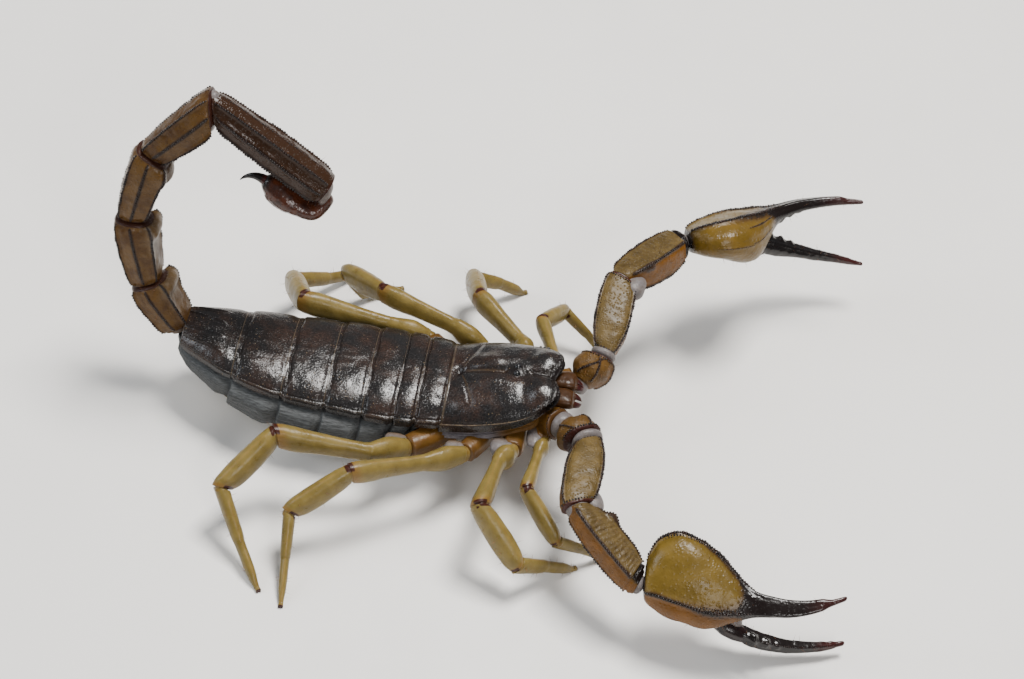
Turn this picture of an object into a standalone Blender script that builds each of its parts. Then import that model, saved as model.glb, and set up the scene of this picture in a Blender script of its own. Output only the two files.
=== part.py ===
"""Desert scorpion, a still life-size model in an alert stance.

Sizes are in millimetres in the animal's own frame: +X to the head, +Y to its left, +Z up, the
floor at z = 0 and the origin under the median eyes. The meshes are built in metres, and one
empty then carries every piece so that the whole stands on its origin.
"""
import math

import bmesh
import bpy
from mathutils import Matrix, Vector

MM = 0.001
GAP = 0.3                       # clear space left between neighbouring pieces
SIDES = {"left": 1, "right": -1}

# Prosoma: the carapace frame starts at the middle of its rear edge and is tipped nose up.
HEAD_ORIGIN = Vector((-7.3, 0.0, 8.9))
HEAD_PITCH = math.radians(17)
CARAPACE_WIDTH = [(0, 6.8), (0.3, 7.0), (0.55, 6.8), (0.75, 6.3), (0.9, 5.7), (1, 5.0)]
CARAPACE_HEIGHT = [(0, 3.1), (0.3, 3.1), (0.6, 3.0), (0.85, 2.5), (0.95, 2.1), (1, 1.5)]
CARAPACE_LENGTH = 14.3          # to the tips of the two front lobes
NOTCH_DEPTH = 1.2
EYE_X, EYE_Y, EYE_Z, EYE_RADIUS = 8.9, 0.54, 2.8, 0.44

# Mesosoma: borders of the seven tergites along X, and outlines as (x, value) pairs.
TERGITE_X = [-7.45, -10.7, -13.2, -17.0, -21.7, -27.0, -33.3, -40.5]
TERGITE_WIDTH = [(-40.5, 3.2), (-33.3, 5.6), (-27, 6.8), (-19, 7.4), (-13, 7.5), (-7, 6.9)]
TERGITE_EDGE = [(-40.5, 9.3), (-33.3, 9.2), (-27, 8.9), (-20, 8.8), (-13, 8.8), (-7, 9.1)]
TERGITE_TOP = [(-40.5, 11.3), (-33.3, 11.4), (-27, 11.3), (-20, 11.3), (-13, 11.6), (-7, 12.0)]
BELLY_WIDTH = [(-40.5, 3.1), (-33.3, 6.3), (-27, 7.9), (-20, 8.5), (-15, 7.8), (-11, 6.4), (-7, 5.4)]
BELLY_FLOOR = [(-40.5, 6.9), (-33.3, 4.2), (-27, 2.8), (-20, 2.5), (-15, 2.8), (-11, 4.4), (-7, 5.4)]
BODY_BEND = [(-40.5, 1.3), (-33.3, 0.1), (-27, -0.2), (-20, -0.1), (-7, 0)]

# Metasoma: it curls back, up and forward in one plane that leans to the animal's left.
TAIL_BASE = Vector((-41.25, 1.8, 9.4))
TAIL_LEAN = math.radians(12)
TAIL_LENGTH = [7.1, 9.0, 9.3, 10.1, 16.2]
TAIL_PITCH = [127, 105, 79, 49, -30]
TAIL_WIDTH = [(2.2, 2.5), (2.1, 2.45), (2.0, 2.35), (1.9, 2.2), (1.8, 2.1)]
TAIL_DEPTH = [(2.1, 2.4), (2.05, 2.4), (1.95, 2.3), (1.85, 2.2), (1.8, 2.0)]

# Pedipalps: headings are measured outwards from straight ahead, pitches upwards, in degrees.
PALP_JOINT = {"right": (7.2, 5.0, 11.4), "left": (8.3, 4.2, 9.55)}
PALP_ELBOW = {"right": (10.1, 7.2, 12.0), "left": (10.5, 7.6, 11.55)}
PALP_LENGTH = {"femur": 10.3, "patella": 11.3, "hand": 24.0}
PATELLA_TILT = {"right": (0.1, 0.12, 1), "left": (0, 0.5, 1)}
FINGER_REACH = {"right": 1.03, "left": 1.16}
HAND_REACH = {"right": 1.0, "left": 1.04}
HAND_UNDER = {"right": [(0, 0.62), (4, 0.68), (7, 0.88), (10, 1.1), (13, 1), (24, 1)],
              "left": [(0, 1.35), (4, 1.35), (8, 1.28), (11, 1.15), (13, 1), (24, 1)]}
FINGER_DROP = {"right": 1.0, "left": 1.35}
PATELLA_UNDER = {"right": 0.64, "left": 1.0}
PATELLA_BREADTH = {"right": 0.87, "left": 1.0}
PALP_POSE = {"right": {"femur": (90, 0), "patella": (37, -20), "hand": (-2, 6), "roll": 42},
             "left": {"femur": (86, 20), "patella": (52, 0), "hand": (25, 4), "roll": 35}}

# Legs, front to rear: hip, far end of the trochanter, coxa root in the carapace frame, lengths.
LEG_HIP = [(5.1, 6.1, 8.9), (1.4, 7.9, 8.3), (-4.2, 8.8, 7.4), (-11.2, 9.1, 6.9)]
LEG_TROCHANTER = {"right": [(4.7, 7.9, 9.2), (0.2, 9.9, 8.6), (-8.1, 11.8, 8.4), (-15.1, 12.1, 8.5)],
                  "left": [(4.7, 7.9, 9.2), (0.2, 9.9, 8.6), (-8.1, 10.0, 9.1), (-15.8, 9.3, 7.8)]}
COXA_ROOT = [(10.3, 1.6, -3.4), (8.2, 1.6, -3.6), (6.2, 1.8, -3.6), (3.2, 1.8, -3.2)]
LEG_FEMUR = [6.2, 8.3, 10.2, 11.5]
LEG_PATELLA = [7.1, 8.3, 8.4, 8.7]
LEG_TIBIA = [4.5, 4.5, 5.5, 6.6]
LEG_TARSUS = [4.2, 4.6, 5.2, 5.8]
LEG_POSE = {"right": [((97, 2), (39, -34), (-26, -35)), ((99, 7), (33, -37), (-33, -27)),
                      ((149, 9), (146, -29), (83, -42)), ((172, 9), (129, -27), (54, -34))],
            "left": [((112, -2), (64, -28), (-15, -35)), ((137, 4), (101, -29), (30, -28)),
                     ((163, 3), (133, -25), (35, -60)), ((180, 8), (110, -29), (47, -27))]}
LEG_DEPTH = [2.5, 3.3, 3.1, 3.5]
LEG_FLATNESS = 0.72             # thickness of a leg as a part of its depth
TARSUS_TIP = 0.6
TOE_LENGTH = 0.55               # the level end of a foot, flat against the floor


# ---------------------------------------------------------------- curves, frames and sections

def along(points, t):
    """Smooth value at t on a curve through (t, value) pairs given in rising order."""
    if t <= points[0][0]:
        return points[0][1]
    for i in range(len(points) - 1):
        (t0, a), (t1, b) = points[i], points[i + 1]
        if t <= t1:
            before = points[max(i - 1, 0)]
            after = points[min(i + 2, len(points) - 1)]
            slope_a = (b - before[1]) / (t1 - before[0])
            slope_b = (after[1] - a) / (after[0] - t0)
            s, h = (t - t0) / (t1 - t0), t1 - t0
            return ((2 * s ** 3 - 3 * s ** 2 + 1) * a + (s ** 3 - 2 * s ** 2 + s) * h * slope_a
                    + (3 * s ** 2 - 2 * s ** 3) * b + (s ** 3 - s ** 2) * h * slope_b)
    return points[-1][1]


def direction(heading, pitch, side=1):
    """Unit vector: heading outwards from +X on the given side, pitch upwards, in degrees."""
    h, p = math.radians(heading), math.radians(pitch)
    return Vector((math.cos(h) * math.cos(p), side * math.sin(h) * math.cos(p), math.sin(p)))


def across(axis, up):
    """The up direction made square to axis, and the sideways direction that goes with it."""
    up = (up - axis * up.dot(axis)).normalized()
    return up, up.cross(axis)


def superellipse(count, half_width, top, bottom, power=2.0):
    """Closed ring of (sideways, upwards) offsets."""
    ring = []
    for i in range(count):
        angle = 2 * math.pi * (i + 0.5) / count
        c, s = math.cos(angle), math.sin(angle)
        height = top if s > 0 else bottom
        ring.append((math.copysign(abs(c) ** (2 / power), c) * half_width,
                     math.copysign(abs(s) ** (2 / power), s) * height))
    return ring


def head_point(x, y, z):
    """A place in the carapace frame, as a place on the animal."""
    c, s = math.cos(HEAD_PITCH), math.sin(HEAD_PITCH)
    return HEAD_ORIGIN + Vector((c * x - s * z, y, s * x + c * z))


def tail_point(x, z):
    """A place in the leaning plane of the tail, measured from the tail's base."""
    return TAIL_BASE + Vector((x, z * math.sin(TAIL_LEAN), z * math.cos(TAIL_LEAN)))


def tail_direction(pitch):
    """Unit vector in the tail's plane."""
    p = math.radians(pitch)
    return tail_point(math.cos(p), math.sin(p)) - TAIL_BASE


# ---------------------------------------------------------------- meshes

def make_object(name, mesh_data, material):
    """Turn a bmesh in millimetres into a named piece in metres."""
    bmesh.ops.recalc_face_normals(mesh_data, faces=mesh_data.faces)
    bmesh.ops.scale(mesh_data, vec=(MM, MM, MM), verts=mesh_data.verts)
    mesh = bpy.data.meshes.new(name)
    mesh_data.to_mesh(mesh)
    mesh_data.free()
    mesh.shade_smooth()
    mesh.set_sharp_from_angle(angle=math.radians(50))
    piece = bpy.data.objects.new(name, mesh)
    piece.data.materials.append(material)
    scorpion.objects.link(piece)
    return piece


def loft(rings):
    """Closed body through rings of equal length, its two ends closed by fans."""
    body = bmesh.new()
    rows = [[body.verts.new(p) for p in ring] for ring in rings]
    count = len(rows[0])
    for a, b in zip(rows, rows[1:]):
        for i in range(count):
            j = (i + 1) % count
            body.faces.new((a[i], a[j], b[j], b[i]))
    for row in (rows[0], rows[-1]):
        middle = body.verts.new(sum((v.co for v in row), Vector()) / count)
        for i in range(count):
            body.faces.new((row[i], row[(i + 1) % count], middle))
    return body


def slab(top, bottom, lengthwise, crosswise):
    """Closed plate between two surfaces given as functions of u in 0..1 and v in -1..1."""
    body = bmesh.new()
    us = [i / lengthwise for i in range(lengthwise + 1)]
    vs = [2 * j / crosswise - 1 for j in range(crosswise + 1)]
    upper = [[body.verts.new(top(u, v)) for v in vs] for u in us]
    lower = [[body.verts.new(bottom(u, v)) for v in vs] for u in us]
    for i in range(lengthwise):
        for j in range(crosswise):
            body.faces.new((upper[i][j], upper[i + 1][j], upper[i + 1][j + 1], upper[i][j + 1]))
            body.faces.new((lower[i][j], lower[i][j + 1], lower[i + 1][j + 1], lower[i + 1][j]))
    for i in range(lengthwise):
        for j in (0, crosswise):
            body.faces.new((upper[i][j], lower[i][j], lower[i + 1][j], upper[i + 1][j]))
    for j in range(crosswise):
        for i in (0, lengthwise):
            body.faces.new((upper[i][j], upper[i][j + 1], lower[i][j + 1], lower[i][j]))
    return body


def limb_rings(points, stations, up, start=None, end=None):
    """Rings along a bent path.

    points are the path's corners. stations are (corner index + fraction, half width, top,
    bottom, power). start and end are the directions of the neighbouring segments: there the
    path is cut along the plane that halves the bend, half a gap short of it.
    """
    count = RING_SIDES
    axes = [(b - a).normalized() for a, b in zip(points, points[1:])]
    planes = []
    for i, point in enumerate(points):
        before = axes[i - 1] if i else (start or axes[0])
        after = axes[i] if i < len(axes) else (end or axes[-1])
        normal = (before + after).normalized()
        shift = GAP / 2 if i == 0 and start else (-GAP / 2 if i == len(axes) and end else 0)
        planes.append((point + normal * shift, normal))
    rings = []
    for where, half_width, top, bottom, power in stations:
        k = min(int(where), len(axes) - 1)
        axis, t = axes[k], where - k
        lift, side = across(axis, up)
        ring = []
        for s, h in superellipse(count, half_width, top, bottom, power):
            line = points[k] + side * s + lift * h
            cuts = [(q - line).dot(n) / axis.dot(n) for q, n in planes[k:k + 2]]
            ring.append(line + axis * (cuts[0] + t * (cuts[1] - cuts[0])))
        rings.append(ring)
    return rings


def sweep_rings(stations):
    """Rings at given places: (centre, axis, up, half width, top, bottom, power)."""
    rings = []
    for centre, axis, up, half_width, top, bottom, power in stations:
        lift, side = across(axis.normalized(), up)
        section = superellipse(RING_SIDES, half_width, top, bottom, power)
        rings.append([centre + side * s + lift * h for s, h in section])
    return rings


def combine(piece, other, operation):
    """Apply a Boolean between two pieces and keep the result as the first piece's mesh."""
    modifier = piece.modifiers.new(operation.title(), "BOOLEAN")
    modifier.operation = operation
    modifier.object = other
    bpy.context.view_layer.update()
    evaluated = piece.evaluated_get(bpy.context.evaluated_depsgraph_get())
    mesh = bpy.data.meshes.new_from_object(evaluated)
    piece.modifiers.remove(modifier)
    piece.data = mesh


def colour(name, rgb, roughness):
    """One Principled material."""
    material = bpy.data.materials.new(name)
    material.use_nodes = True
    shader = material.node_tree.nodes["Principled BSDF"]
    shader.inputs["Base Color"].default_value = (*rgb, 1)
    shader.inputs["Roughness"].default_value = roughness
    shader.inputs["Metallic"].default_value = 0.0
    return material


# ---------------------------------------------------------------- prosoma

def front_line(v):
    """How far forward the front edge reaches: two blunt lobes and a notch between them."""
    return CARAPACE_LENGTH - NOTCH_DEPTH * math.exp(-(v / 0.28) ** 2) - 2.4 * abs(v) ** 5


def front_rim(u, v):
    """Height of the rim, which rises to the front and less so at the corners."""
    return 1.4 * max(0, (u - 0.7) / 0.3) ** 1.5 * (1 - 0.5 * abs(v) ** 3)


def carapace_top(u, v):
    """Upper face of the carapace: a dome with two front lobes and a notch between them."""
    level = CARAPACE_LENGTH - NOTCH_DEPTH
    front, rim = front_line(v), front_rim(u, v)
    dome = (1 - abs(v) ** 2.6) ** 0.62
    x = level * u + (front - level) * u ** 3
    z = rim + (along(CARAPACE_HEIGHT, u) - rim) * dome
    return head_point(x + upright_rear(u, z), v * along(CARAPACE_WIDTH, u), z)


def upright_rear(u, z):
    """Forward shift that keeps the carapace's rear face upright although the carapace is tipped."""
    return (1 - u) ** 3 * z * math.tan(HEAD_PITCH)


def carapace_bottom(u, v):
    """Flat underside, with a rim 0.45 mm thick under the upper face's edge."""
    level = CARAPACE_LENGTH - NOTCH_DEPTH
    front, rim = front_line(v), front_rim(u, v)
    x = level * u + (front - level) * u ** 3
    z = rim - 0.45
    return head_point(x + upright_rear(u, z), v * along(CARAPACE_WIDTH, u), z)


def build_carapace(material):
    carapace = make_object("carapace", slab(carapace_top, carapace_bottom, 10, 14), material)
    for name, side in SIDES.items():
        socket = eye_ball("eye_socket_" + name, side, EYE_RADIUS + GAP, material, 10)
        combine(carapace, socket, "DIFFERENCE")
        bpy.data.objects.remove(socket)


def eye_ball(name, side, radius, material, segments):
    ball = bmesh.new()
    bmesh.ops.create_uvsphere(ball, u_segments=segments, v_segments=segments // 2, radius=radius)
    bmesh.ops.translate(ball, vec=head_point(EYE_X, side * EYE_Y, EYE_Z), verts=ball.verts)
    return make_object(name, ball, material)


def build_eyes(material):
    for name, side in SIDES.items():
        eye_ball("eye_" + name, side, EYE_RADIUS, material, 10)


def build_chelicerae(material):
    """Two short jaws side by side under the front lobes, each ending in a blunt hook."""
    up = head_point(0, 0, 1) - HEAD_ORIGIN
    forward = head_point(1, 0, 0) - HEAD_ORIGIN
    for name, side in SIDES.items():
        stations = [(12.6, 1.3, -0.5, 1.0, 0.8), (13.7, 1.5, -0.6, 1.3, 1.1),
                    (14.7, 1.55, -0.8, 1.3, 1.15), (15.5, 1.5, -1.3, 0.9, 0.85),
                    (16.2, 1.35, -1.8, 0.4, 0.4)]
        rings = sweep_rings([(head_point(x, side * y, z), forward, up, w, h, h, 2.6)
                             for x, y, z, w, h in stations])
        make_object("chelicera_" + name, loft(rings), material)


def build_prosoma_base(material):
    """Sternum and coxae: a low keel-shaped core with a stub for each leg and pedipalp."""
    up = head_point(0, 0, 1) - HEAD_ORIGIN
    forward = head_point(1, 0, 0) - HEAD_ORIGIN
    core_stations = [(0.5, 4.3, -0.8, -3.0), (4, 5.0, -0.8, -4.3), (8, 4.6, -0.8, -4.6),
                     (11.4, 3.6, -0.8, -4.2), (12.6, 2.6, -3.0, -3.9)]
    rings = sweep_rings([(head_point(x, 0, (top + low) / 2), forward, up, w, (top - low) / 2,
                          (top - low) / 2, 3) for x, w, top, low in core_stations])
    base = make_object("sternum_coxae", loft(rings), material)
    for side in SIDES.values():
        for i in range(4):
            hip = Vector((LEG_HIP[i][0], side * LEG_HIP[i][1], LEG_HIP[i][2]))
            add_coxa(base, coxa_root(i, side), hip, 0.4 * LEG_DEPTH[i], material)
        a = head_point(11.0, side * 2.4, -2.9)
        joint = palp_points("left" if side > 0 else "right")[0][0]
        add_coxa(base, a, joint - (joint - a).normalized() * GAP, 1.5, material)


def coxa_root(i, side):
    """Where a leg's coxa leaves the sternum."""
    x, y, z = COXA_ROOT[i]
    return head_point(x, side * y, z)


def add_coxa(base, inner, outer, radius, material):
    """Join one tapering stub to the base, a little short of the joint."""
    axis = (outer - inner).normalized()
    rings = sweep_rings([(inner, axis, Vector((0, 0, 1)), radius * 0.9, radius, radius, 2.3),
                         (outer - axis * 2 * GAP, axis, Vector((0, 0, 1)), radius, radius, radius,
                          2.3)])
    stub = make_object("coxa", loft(rings), material)
    combine(base, stub, "UNION")
    bpy.data.objects.remove(stub)


# ---------------------------------------------------------------- mesosoma

def build_tergites(material):
    """Seven arched plates, each a gap short of the next."""
    for i, (front, rear) in enumerate(zip(TERGITE_X, TERGITE_X[1:])):
        def surface(u, v, lift, front=front - GAP / 2, rear=rear + GAP / 2):
            x = front + (rear - front) * u
            edge, crown = along(TERGITE_EDGE, x), along(TERGITE_TOP, x)
            z = edge
            if lift:
                z += 0.5 + (crown - edge - 0.5) * (1 - abs(v) ** 2.5) ** 0.7
            return Vector((x, along(BODY_BEND, x) + v * along(TERGITE_WIDTH, x), z))
        plate = slab(lambda u, v: surface(u, v, True), lambda u, v: surface(u, v, False),
                     3 if i < 5 else 4, 10)
        plate = make_object(f"tergite_{i + 1}", plate, material)
    clear_limb(plate, tail_joints()[:2], TAIL_WIDTH[0][1] - 0.2, material)


def build_belly(material):
    """Soft side folds and sternites under the tergites, as one body."""
    stations = []
    for i in range(15):
        x = -7.7 - i * (40.5 - 7.7) / 14
        top = along(TERGITE_EDGE, x) - GAP
        low = along(BELLY_FLOOR, x)
        middle = top - 0.38 * (top - low)
        stations.append((Vector((x, along(BODY_BEND, x), middle)), Vector((-1, 0, 0)),
                         Vector((0, 0, 1)), along(BELLY_WIDTH, x), top - middle,
                         middle - low, 2.8))
    belly = make_object("belly", loft(sweep_rings(stations)), material)
    for side in SIDES.values():
        for i in (2, 3):
            hip, knee = trochanter_path(i, side)
            root = coxa_root(i, side)
            clear_limb(belly, (hip, knee), LEG_DEPTH[i] / 2, material)
            clear_limb(belly, (root, hip), LEG_DEPTH[i] * 0.47, material)


def clear_limb(piece, path, radius, material):
    """Cut a limb's shape, grown by the gap, out of a piece that it passes."""
    axis = (path[1] - path[0]).normalized()
    r = radius + GAP
    rings = sweep_rings([(path[0] - axis * 2 * r, axis, Vector((0, 0, 1)), r, r, r, 2.2),
                         (path[1] + axis * r, axis, Vector((0, 0, 1)), r, r, r, 2.2)])
    cutter = make_object("limb_space", loft(rings), material)
    combine(piece, cutter, "DIFFERENCE")
    bpy.data.objects.remove(cutter)


def build_pectines(material):
    """Comb under the belly behind the last coxae, its teeth joined to the backbone."""
    teeth = 8
    for name, side in SIDES.items():
        root = Vector((-7.6, side * 1.2, 4.2))
        tip = Vector((-12.2, side * 6.0, 2.6))
        along_comb = (tip - root) / teeth
        rear = Vector((-0.55, -side * 0.45, -0.35))
        comb = bmesh.new()
        rim = [root + Vector((0.5, 0, 0.2)), tip + Vector((0.4, 0, 0.2))]
        for i in range(teeth, 0, -1):
            base = root + along_comb * i
            rim += [base + rear * 1.9, base - along_comb * 0.45 + rear * 1.9,
                    base - along_comb * 0.5 + rear * 0.6, base - along_comb * 0.95 + rear * 0.6]
        lower = [comb.verts.new(p) for p in rim]
        face = comb.faces.new(lower)
        grown = bmesh.ops.extrude_face_region(comb, geom=[face])
        top = [g for g in grown["geom"] if isinstance(g, bmesh.types.BMVert)]
        bmesh.ops.translate(comb, vec=(0, 0, 0.6), verts=top)
        bmesh.ops.triangulate(comb, faces=comb.faces)
        make_object("pectine_" + name, comb, material)


# ---------------------------------------------------------------- metasoma

def tail_joints():
    """Corner points of the tail's five segments."""
    x, z, points = 0.0, 0.0, [tail_point(0, 0)]
    for length, pitch in zip(TAIL_LENGTH, TAIL_PITCH):
        x += length * math.cos(math.radians(pitch))
        z += length * math.sin(math.radians(pitch))
        points.append(tail_point(x, z))
    return points


def build_tail(materials):
    """Five segments, each narrow in front and flared behind, cut where the tail bends."""
    points = tail_joints()
    axes = [tail_direction(p) for p in TAIL_PITCH]
    for i in range(5):
        (w0, w1), (d0, d1) = TAIL_WIDTH[i], TAIL_DEPTH[i]
        up = tail_direction(TAIL_PITCH[i] - 90)
        swell = 1.06 if i < 4 else 1.02
        stations = [(0, w0 * 0.84, d0 * 0.86, d0 * 0.86, 2.6), (0.1, w0, d0, d0, 2.8),
                    (0.4, (w0 + w1) / 2 * swell, d1 * 0.98, d1 * 0.98, 2.9),
                    (0.72, w1 * swell, d1 * 1.03, d1, 2.9),
                    (0.92, w1, d1 * 1.02, d1 * 0.96, 2.8), (1, w1 * 0.9, d1 * 0.9, d1 * 0.86, 2.6)]
        start = axes[i - 1] if i else axes[0]
        end = axes[i + 1] if i < 4 else axes[4]
        rings = limb_rings([points[i], points[i + 1]], stations, up, start, end)
        make_object(f"tail_segment_{i + 1}", loft(rings), materials[i])


def telson_place(forward, down):
    """A place near the telson: forward along segment 5 from its end, and down to its dorsal side."""
    axis, dorsal = tail_direction(TAIL_PITCH[4]), tail_direction(TAIL_PITCH[4] - 90)
    return tail_joints()[5] + axis * forward + dorsal * down


def build_telson(vesicle_material, aculeus_material):
    """Vesicle folded back under segment 5, and the sting with its small tooth."""
    side = tail_direction(0).cross(tail_direction(90))
    path = [(0.95, 1.0, -90, 0.95, 0.7), (0.95, 2.0, -105, 1.3, 0.85), (0.6, 3.1, -140, 1.8, 1.1),
            (-0.9, 3.65, 178, 2.15, 1.25), (-2.6, 3.95, 176, 2.15, 1.6), (-4.3, 4.0, 172, 1.75, 1.6),
            (-5.6, 3.85, 174, 1.15, 1.15), (-6.2, 3.8, 182, 0.75, 0.7)]
    stations = []
    for forward, down, turn, w, d in path:
        heading = math.radians(turn)
        axis = (telson_place(math.cos(heading), -math.sin(heading)) - telson_place(0, 0))
        stations.append((telson_place(forward, down), axis, side.cross(axis), w, d, d, 2.1))
    make_object("telson_vesicle", loft(sweep_rings(stations)), vesicle_material)
    sting = []
    forward, down = -6.5, 3.95
    for i in range(7):
        t = i / 6
        turn = math.radians(188 + 84 * t ** 1.2)
        axis = telson_place(math.cos(turn), -math.sin(turn)) - telson_place(0, 0)
        r = 0.62 * (1 - t) + 0.24 * t
        sting.append((telson_place(forward, down), axis, side.cross(axis), r, r, r, 2))
        forward += 0.48 * math.cos(turn)
        down -= 0.48 * math.sin(turn)
    make_object("aculeus", loft(sweep_rings(sting)), aculeus_material)


# ---------------------------------------------------------------- pedipalps

def palp_points(name):
    """Joint, elbow, and the ends of femur, patella and hand, with the segment directions."""
    side, pose = SIDES[name], PALP_POSE[name]
    points = [Vector((x, side * y, z)) for x, y, z in (PALP_JOINT[name], PALP_ELBOW[name])]
    for part in ("femur", "patella", "hand"):
        points.append(points[-1] + direction(*pose[part], side) * PALP_LENGTH[part])
    axes = [(b - a).normalized() for a, b in zip(points, points[1:])]
    return points, axes


def hand_frame(name):
    """Wrist point, and the hand's forward, outward and upward directions after its roll."""
    points, axes = palp_points(name)
    forward, side = axes[3], SIDES[name]
    level = Vector((0, 0, 1))
    up, _ = across(forward, level)
    roll = math.radians(PALP_POSE[name]["roll"]) * side
    up = Matrix.Rotation(-roll, 3, forward) @ up
    outward = up.cross(forward) * side
    return points[3], forward, outward, up


def build_pedipalps(arm_material, hand_material, finger_material):
    for name, side in SIDES.items():
        points, axes = palp_points(name)
        up = Vector((0, 0, 1))
        trochanter = [(0, 1.4, 1.5, 1.5, 2.3), (0.45, 2.3, 2.2, 2.4, 2.5), (1, 2.1, 2.1, 2.3, 2.5)]
        femur = [(0, 1.1, 1.3, 1.3, 2.8), (0.12, 1.65, 1.6, 1.6, 3.4), (0.32, 2.15, 1.75, 1.75, 4),
                 (0.55, 2.3, 1.8, 1.8, 4), (0.85, 2.15, 1.75, 1.75, 3.6), (1, 1.75, 1.6, 1.6, 2.8)]
        patella = [(0, 1.4, 1.5, 1.6, 2.8), (0.16, 1.95, 1.75, 1.9, 3.2), (0.4, 2.3, 1.9, 2.1, 3.4),
                   (0.75, 2.2, 1.9, 2.1, 3.4), (0.93, 1.8, 1.7, 1.8, 2.8), (1, 1.5, 1.5, 1.5, 2.6)]
        rings = limb_rings([points[0] + axes[0] * GAP / 2, points[1]], trochanter, up, None, axes[1])
        make_object(f"pedipalp_{name}_trochanter", loft(rings), arm_material)
        rings = limb_rings(points[1:3], femur, up, axes[0], axes[2])
        make_object(f"pedipalp_{name}_femur", loft(rings), arm_material)
        tilt = Vector(PATELLA_TILT[name]).normalized()
        patella = [(t, w * PATELLA_BREADTH[name], top, low * PATELLA_UNDER[name], n) for t, w, top, low, n in patella]
        rings = limb_rings(points[2:4], patella, tilt, axes[1], axes[3])
        make_object(f"pedipalp_{name}_patella", loft(rings), arm_material)
        build_hand(name, hand_material, finger_material)


def build_hand(name, hand_material, finger_material):
    """Broad hand that runs on into the fixed finger, and the movable finger below it."""
    wrist, forward, outward, up = hand_frame(name)
    # Along the hand: distance, outward and upward offset of the middle, half width, top, bottom.
    hand = [(0.5, 0.1, 0, 1.2, 1.2, 1.1), (1.1, -0.7, 0, 2.8, 1.8, 1.1),
            (2.1, -1.3, 0, 4.1, 2.2, 1.4), (3.9, -1.3, 0, 4.9, 2.5, 1.9),
            (5.7, -1.0, 0, 5.0, 2.6, 2.5), (7.5, -0.4, 0, 4.8, 2.6, 3.0),
            (9.1, 0.1, 0.1, 4.1, 2.3, 3.0), (10.6, 0.5, 0.5, 3.1, 1.8, 2.3),
            (12.0, 0.9, 0.9, 2.1, 1.15, 1.5), (13.4, 1.1, 1.25, 1.4, 0.8, 1.0),
            (15.6, 1.2, 1.5, 1.05, 0.68, 0.78), (17.6, 1.2, 1.5, 0.88, 0.6, 0.65),
            (19.8, 0.8, 1.45, 0.65, 0.5, 0.55), (22.0, 0.05, 1.25, 0.42, 0.42, 0.42),
            (23.9, -0.7, 0.95, 0.27, 0.27, 0.27)]
    stations = []
    for x, y, z, w, top, low in hand:
        centre = wrist + forward * (x * HAND_REACH[name]) + outward * y + up * z
        stations.append((centre, forward, up, w, top, low * along(HAND_UNDER[name], x), 2.3))
    palm = make_object(f"pedipalp_{name}_hand", loft(sweep_rings(stations)), hand_material)
    # The knuckle that carries the movable finger: distance, outward, downward, radius.
    knuckle = [(7.4, 1.0, 0.6, 1.5), (9.6, 3.0, 2.0, 1.65), (11.1, 4.3, 3.0, 1.0)]
    stations = [(wrist + forward * x + outward * y - up * z, forward, up, r, r, r, 2.2)
                for x, y, z, r in knuckle]
    lobe = make_object("knuckle", loft(sweep_rings(stations)), hand_material)
    combine(palm, lobe, "UNION")
    bpy.data.objects.remove(lobe)
    hinge = wrist + forward * 11.4 + outward * 4.4 - up * 3.1
    # Along the movable finger: distance, outward bow, opening, half width, half depth.
    finger = [(0, 0, 0, 0.75, 0.8), (0.9, 0.35, 0.25, 1.0, 1.25), (2.6, 0.95, 0.85, 1.0, 1.3),
              (5.0, 1.45, 1.7, 0.85, 0.95), (7.3, 1.6, 2.5, 0.7, 0.75), (9.6, 1.45, 3.2, 0.55, 0.55),
              (11.3, 1.2, 3.75, 0.42, 0.42), (13.0, 0.8, 4.2, 0.27, 0.27)]
    stations = []
    for x, bow, drop, w, h in finger:
        centre = hinge + forward * (x * FINGER_REACH[name]) + outward * bow - up * (drop * FINGER_DROP[name])
        stations.append((centre, forward, up, w, h, h, 2.2))
    make_object(f"pedipalp_{name}_finger", loft(sweep_rings(stations)), finger_material)


# ---------------------------------------------------------------- legs

def trochanter_path(i, side):
    hip, end = LEG_HIP[i], LEG_TROCHANTER["left" if side > 0 else "right"][i]
    return [Vector((hip[0], side * hip[1], hip[2])), Vector((end[0], side * end[1], end[2]))]


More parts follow.
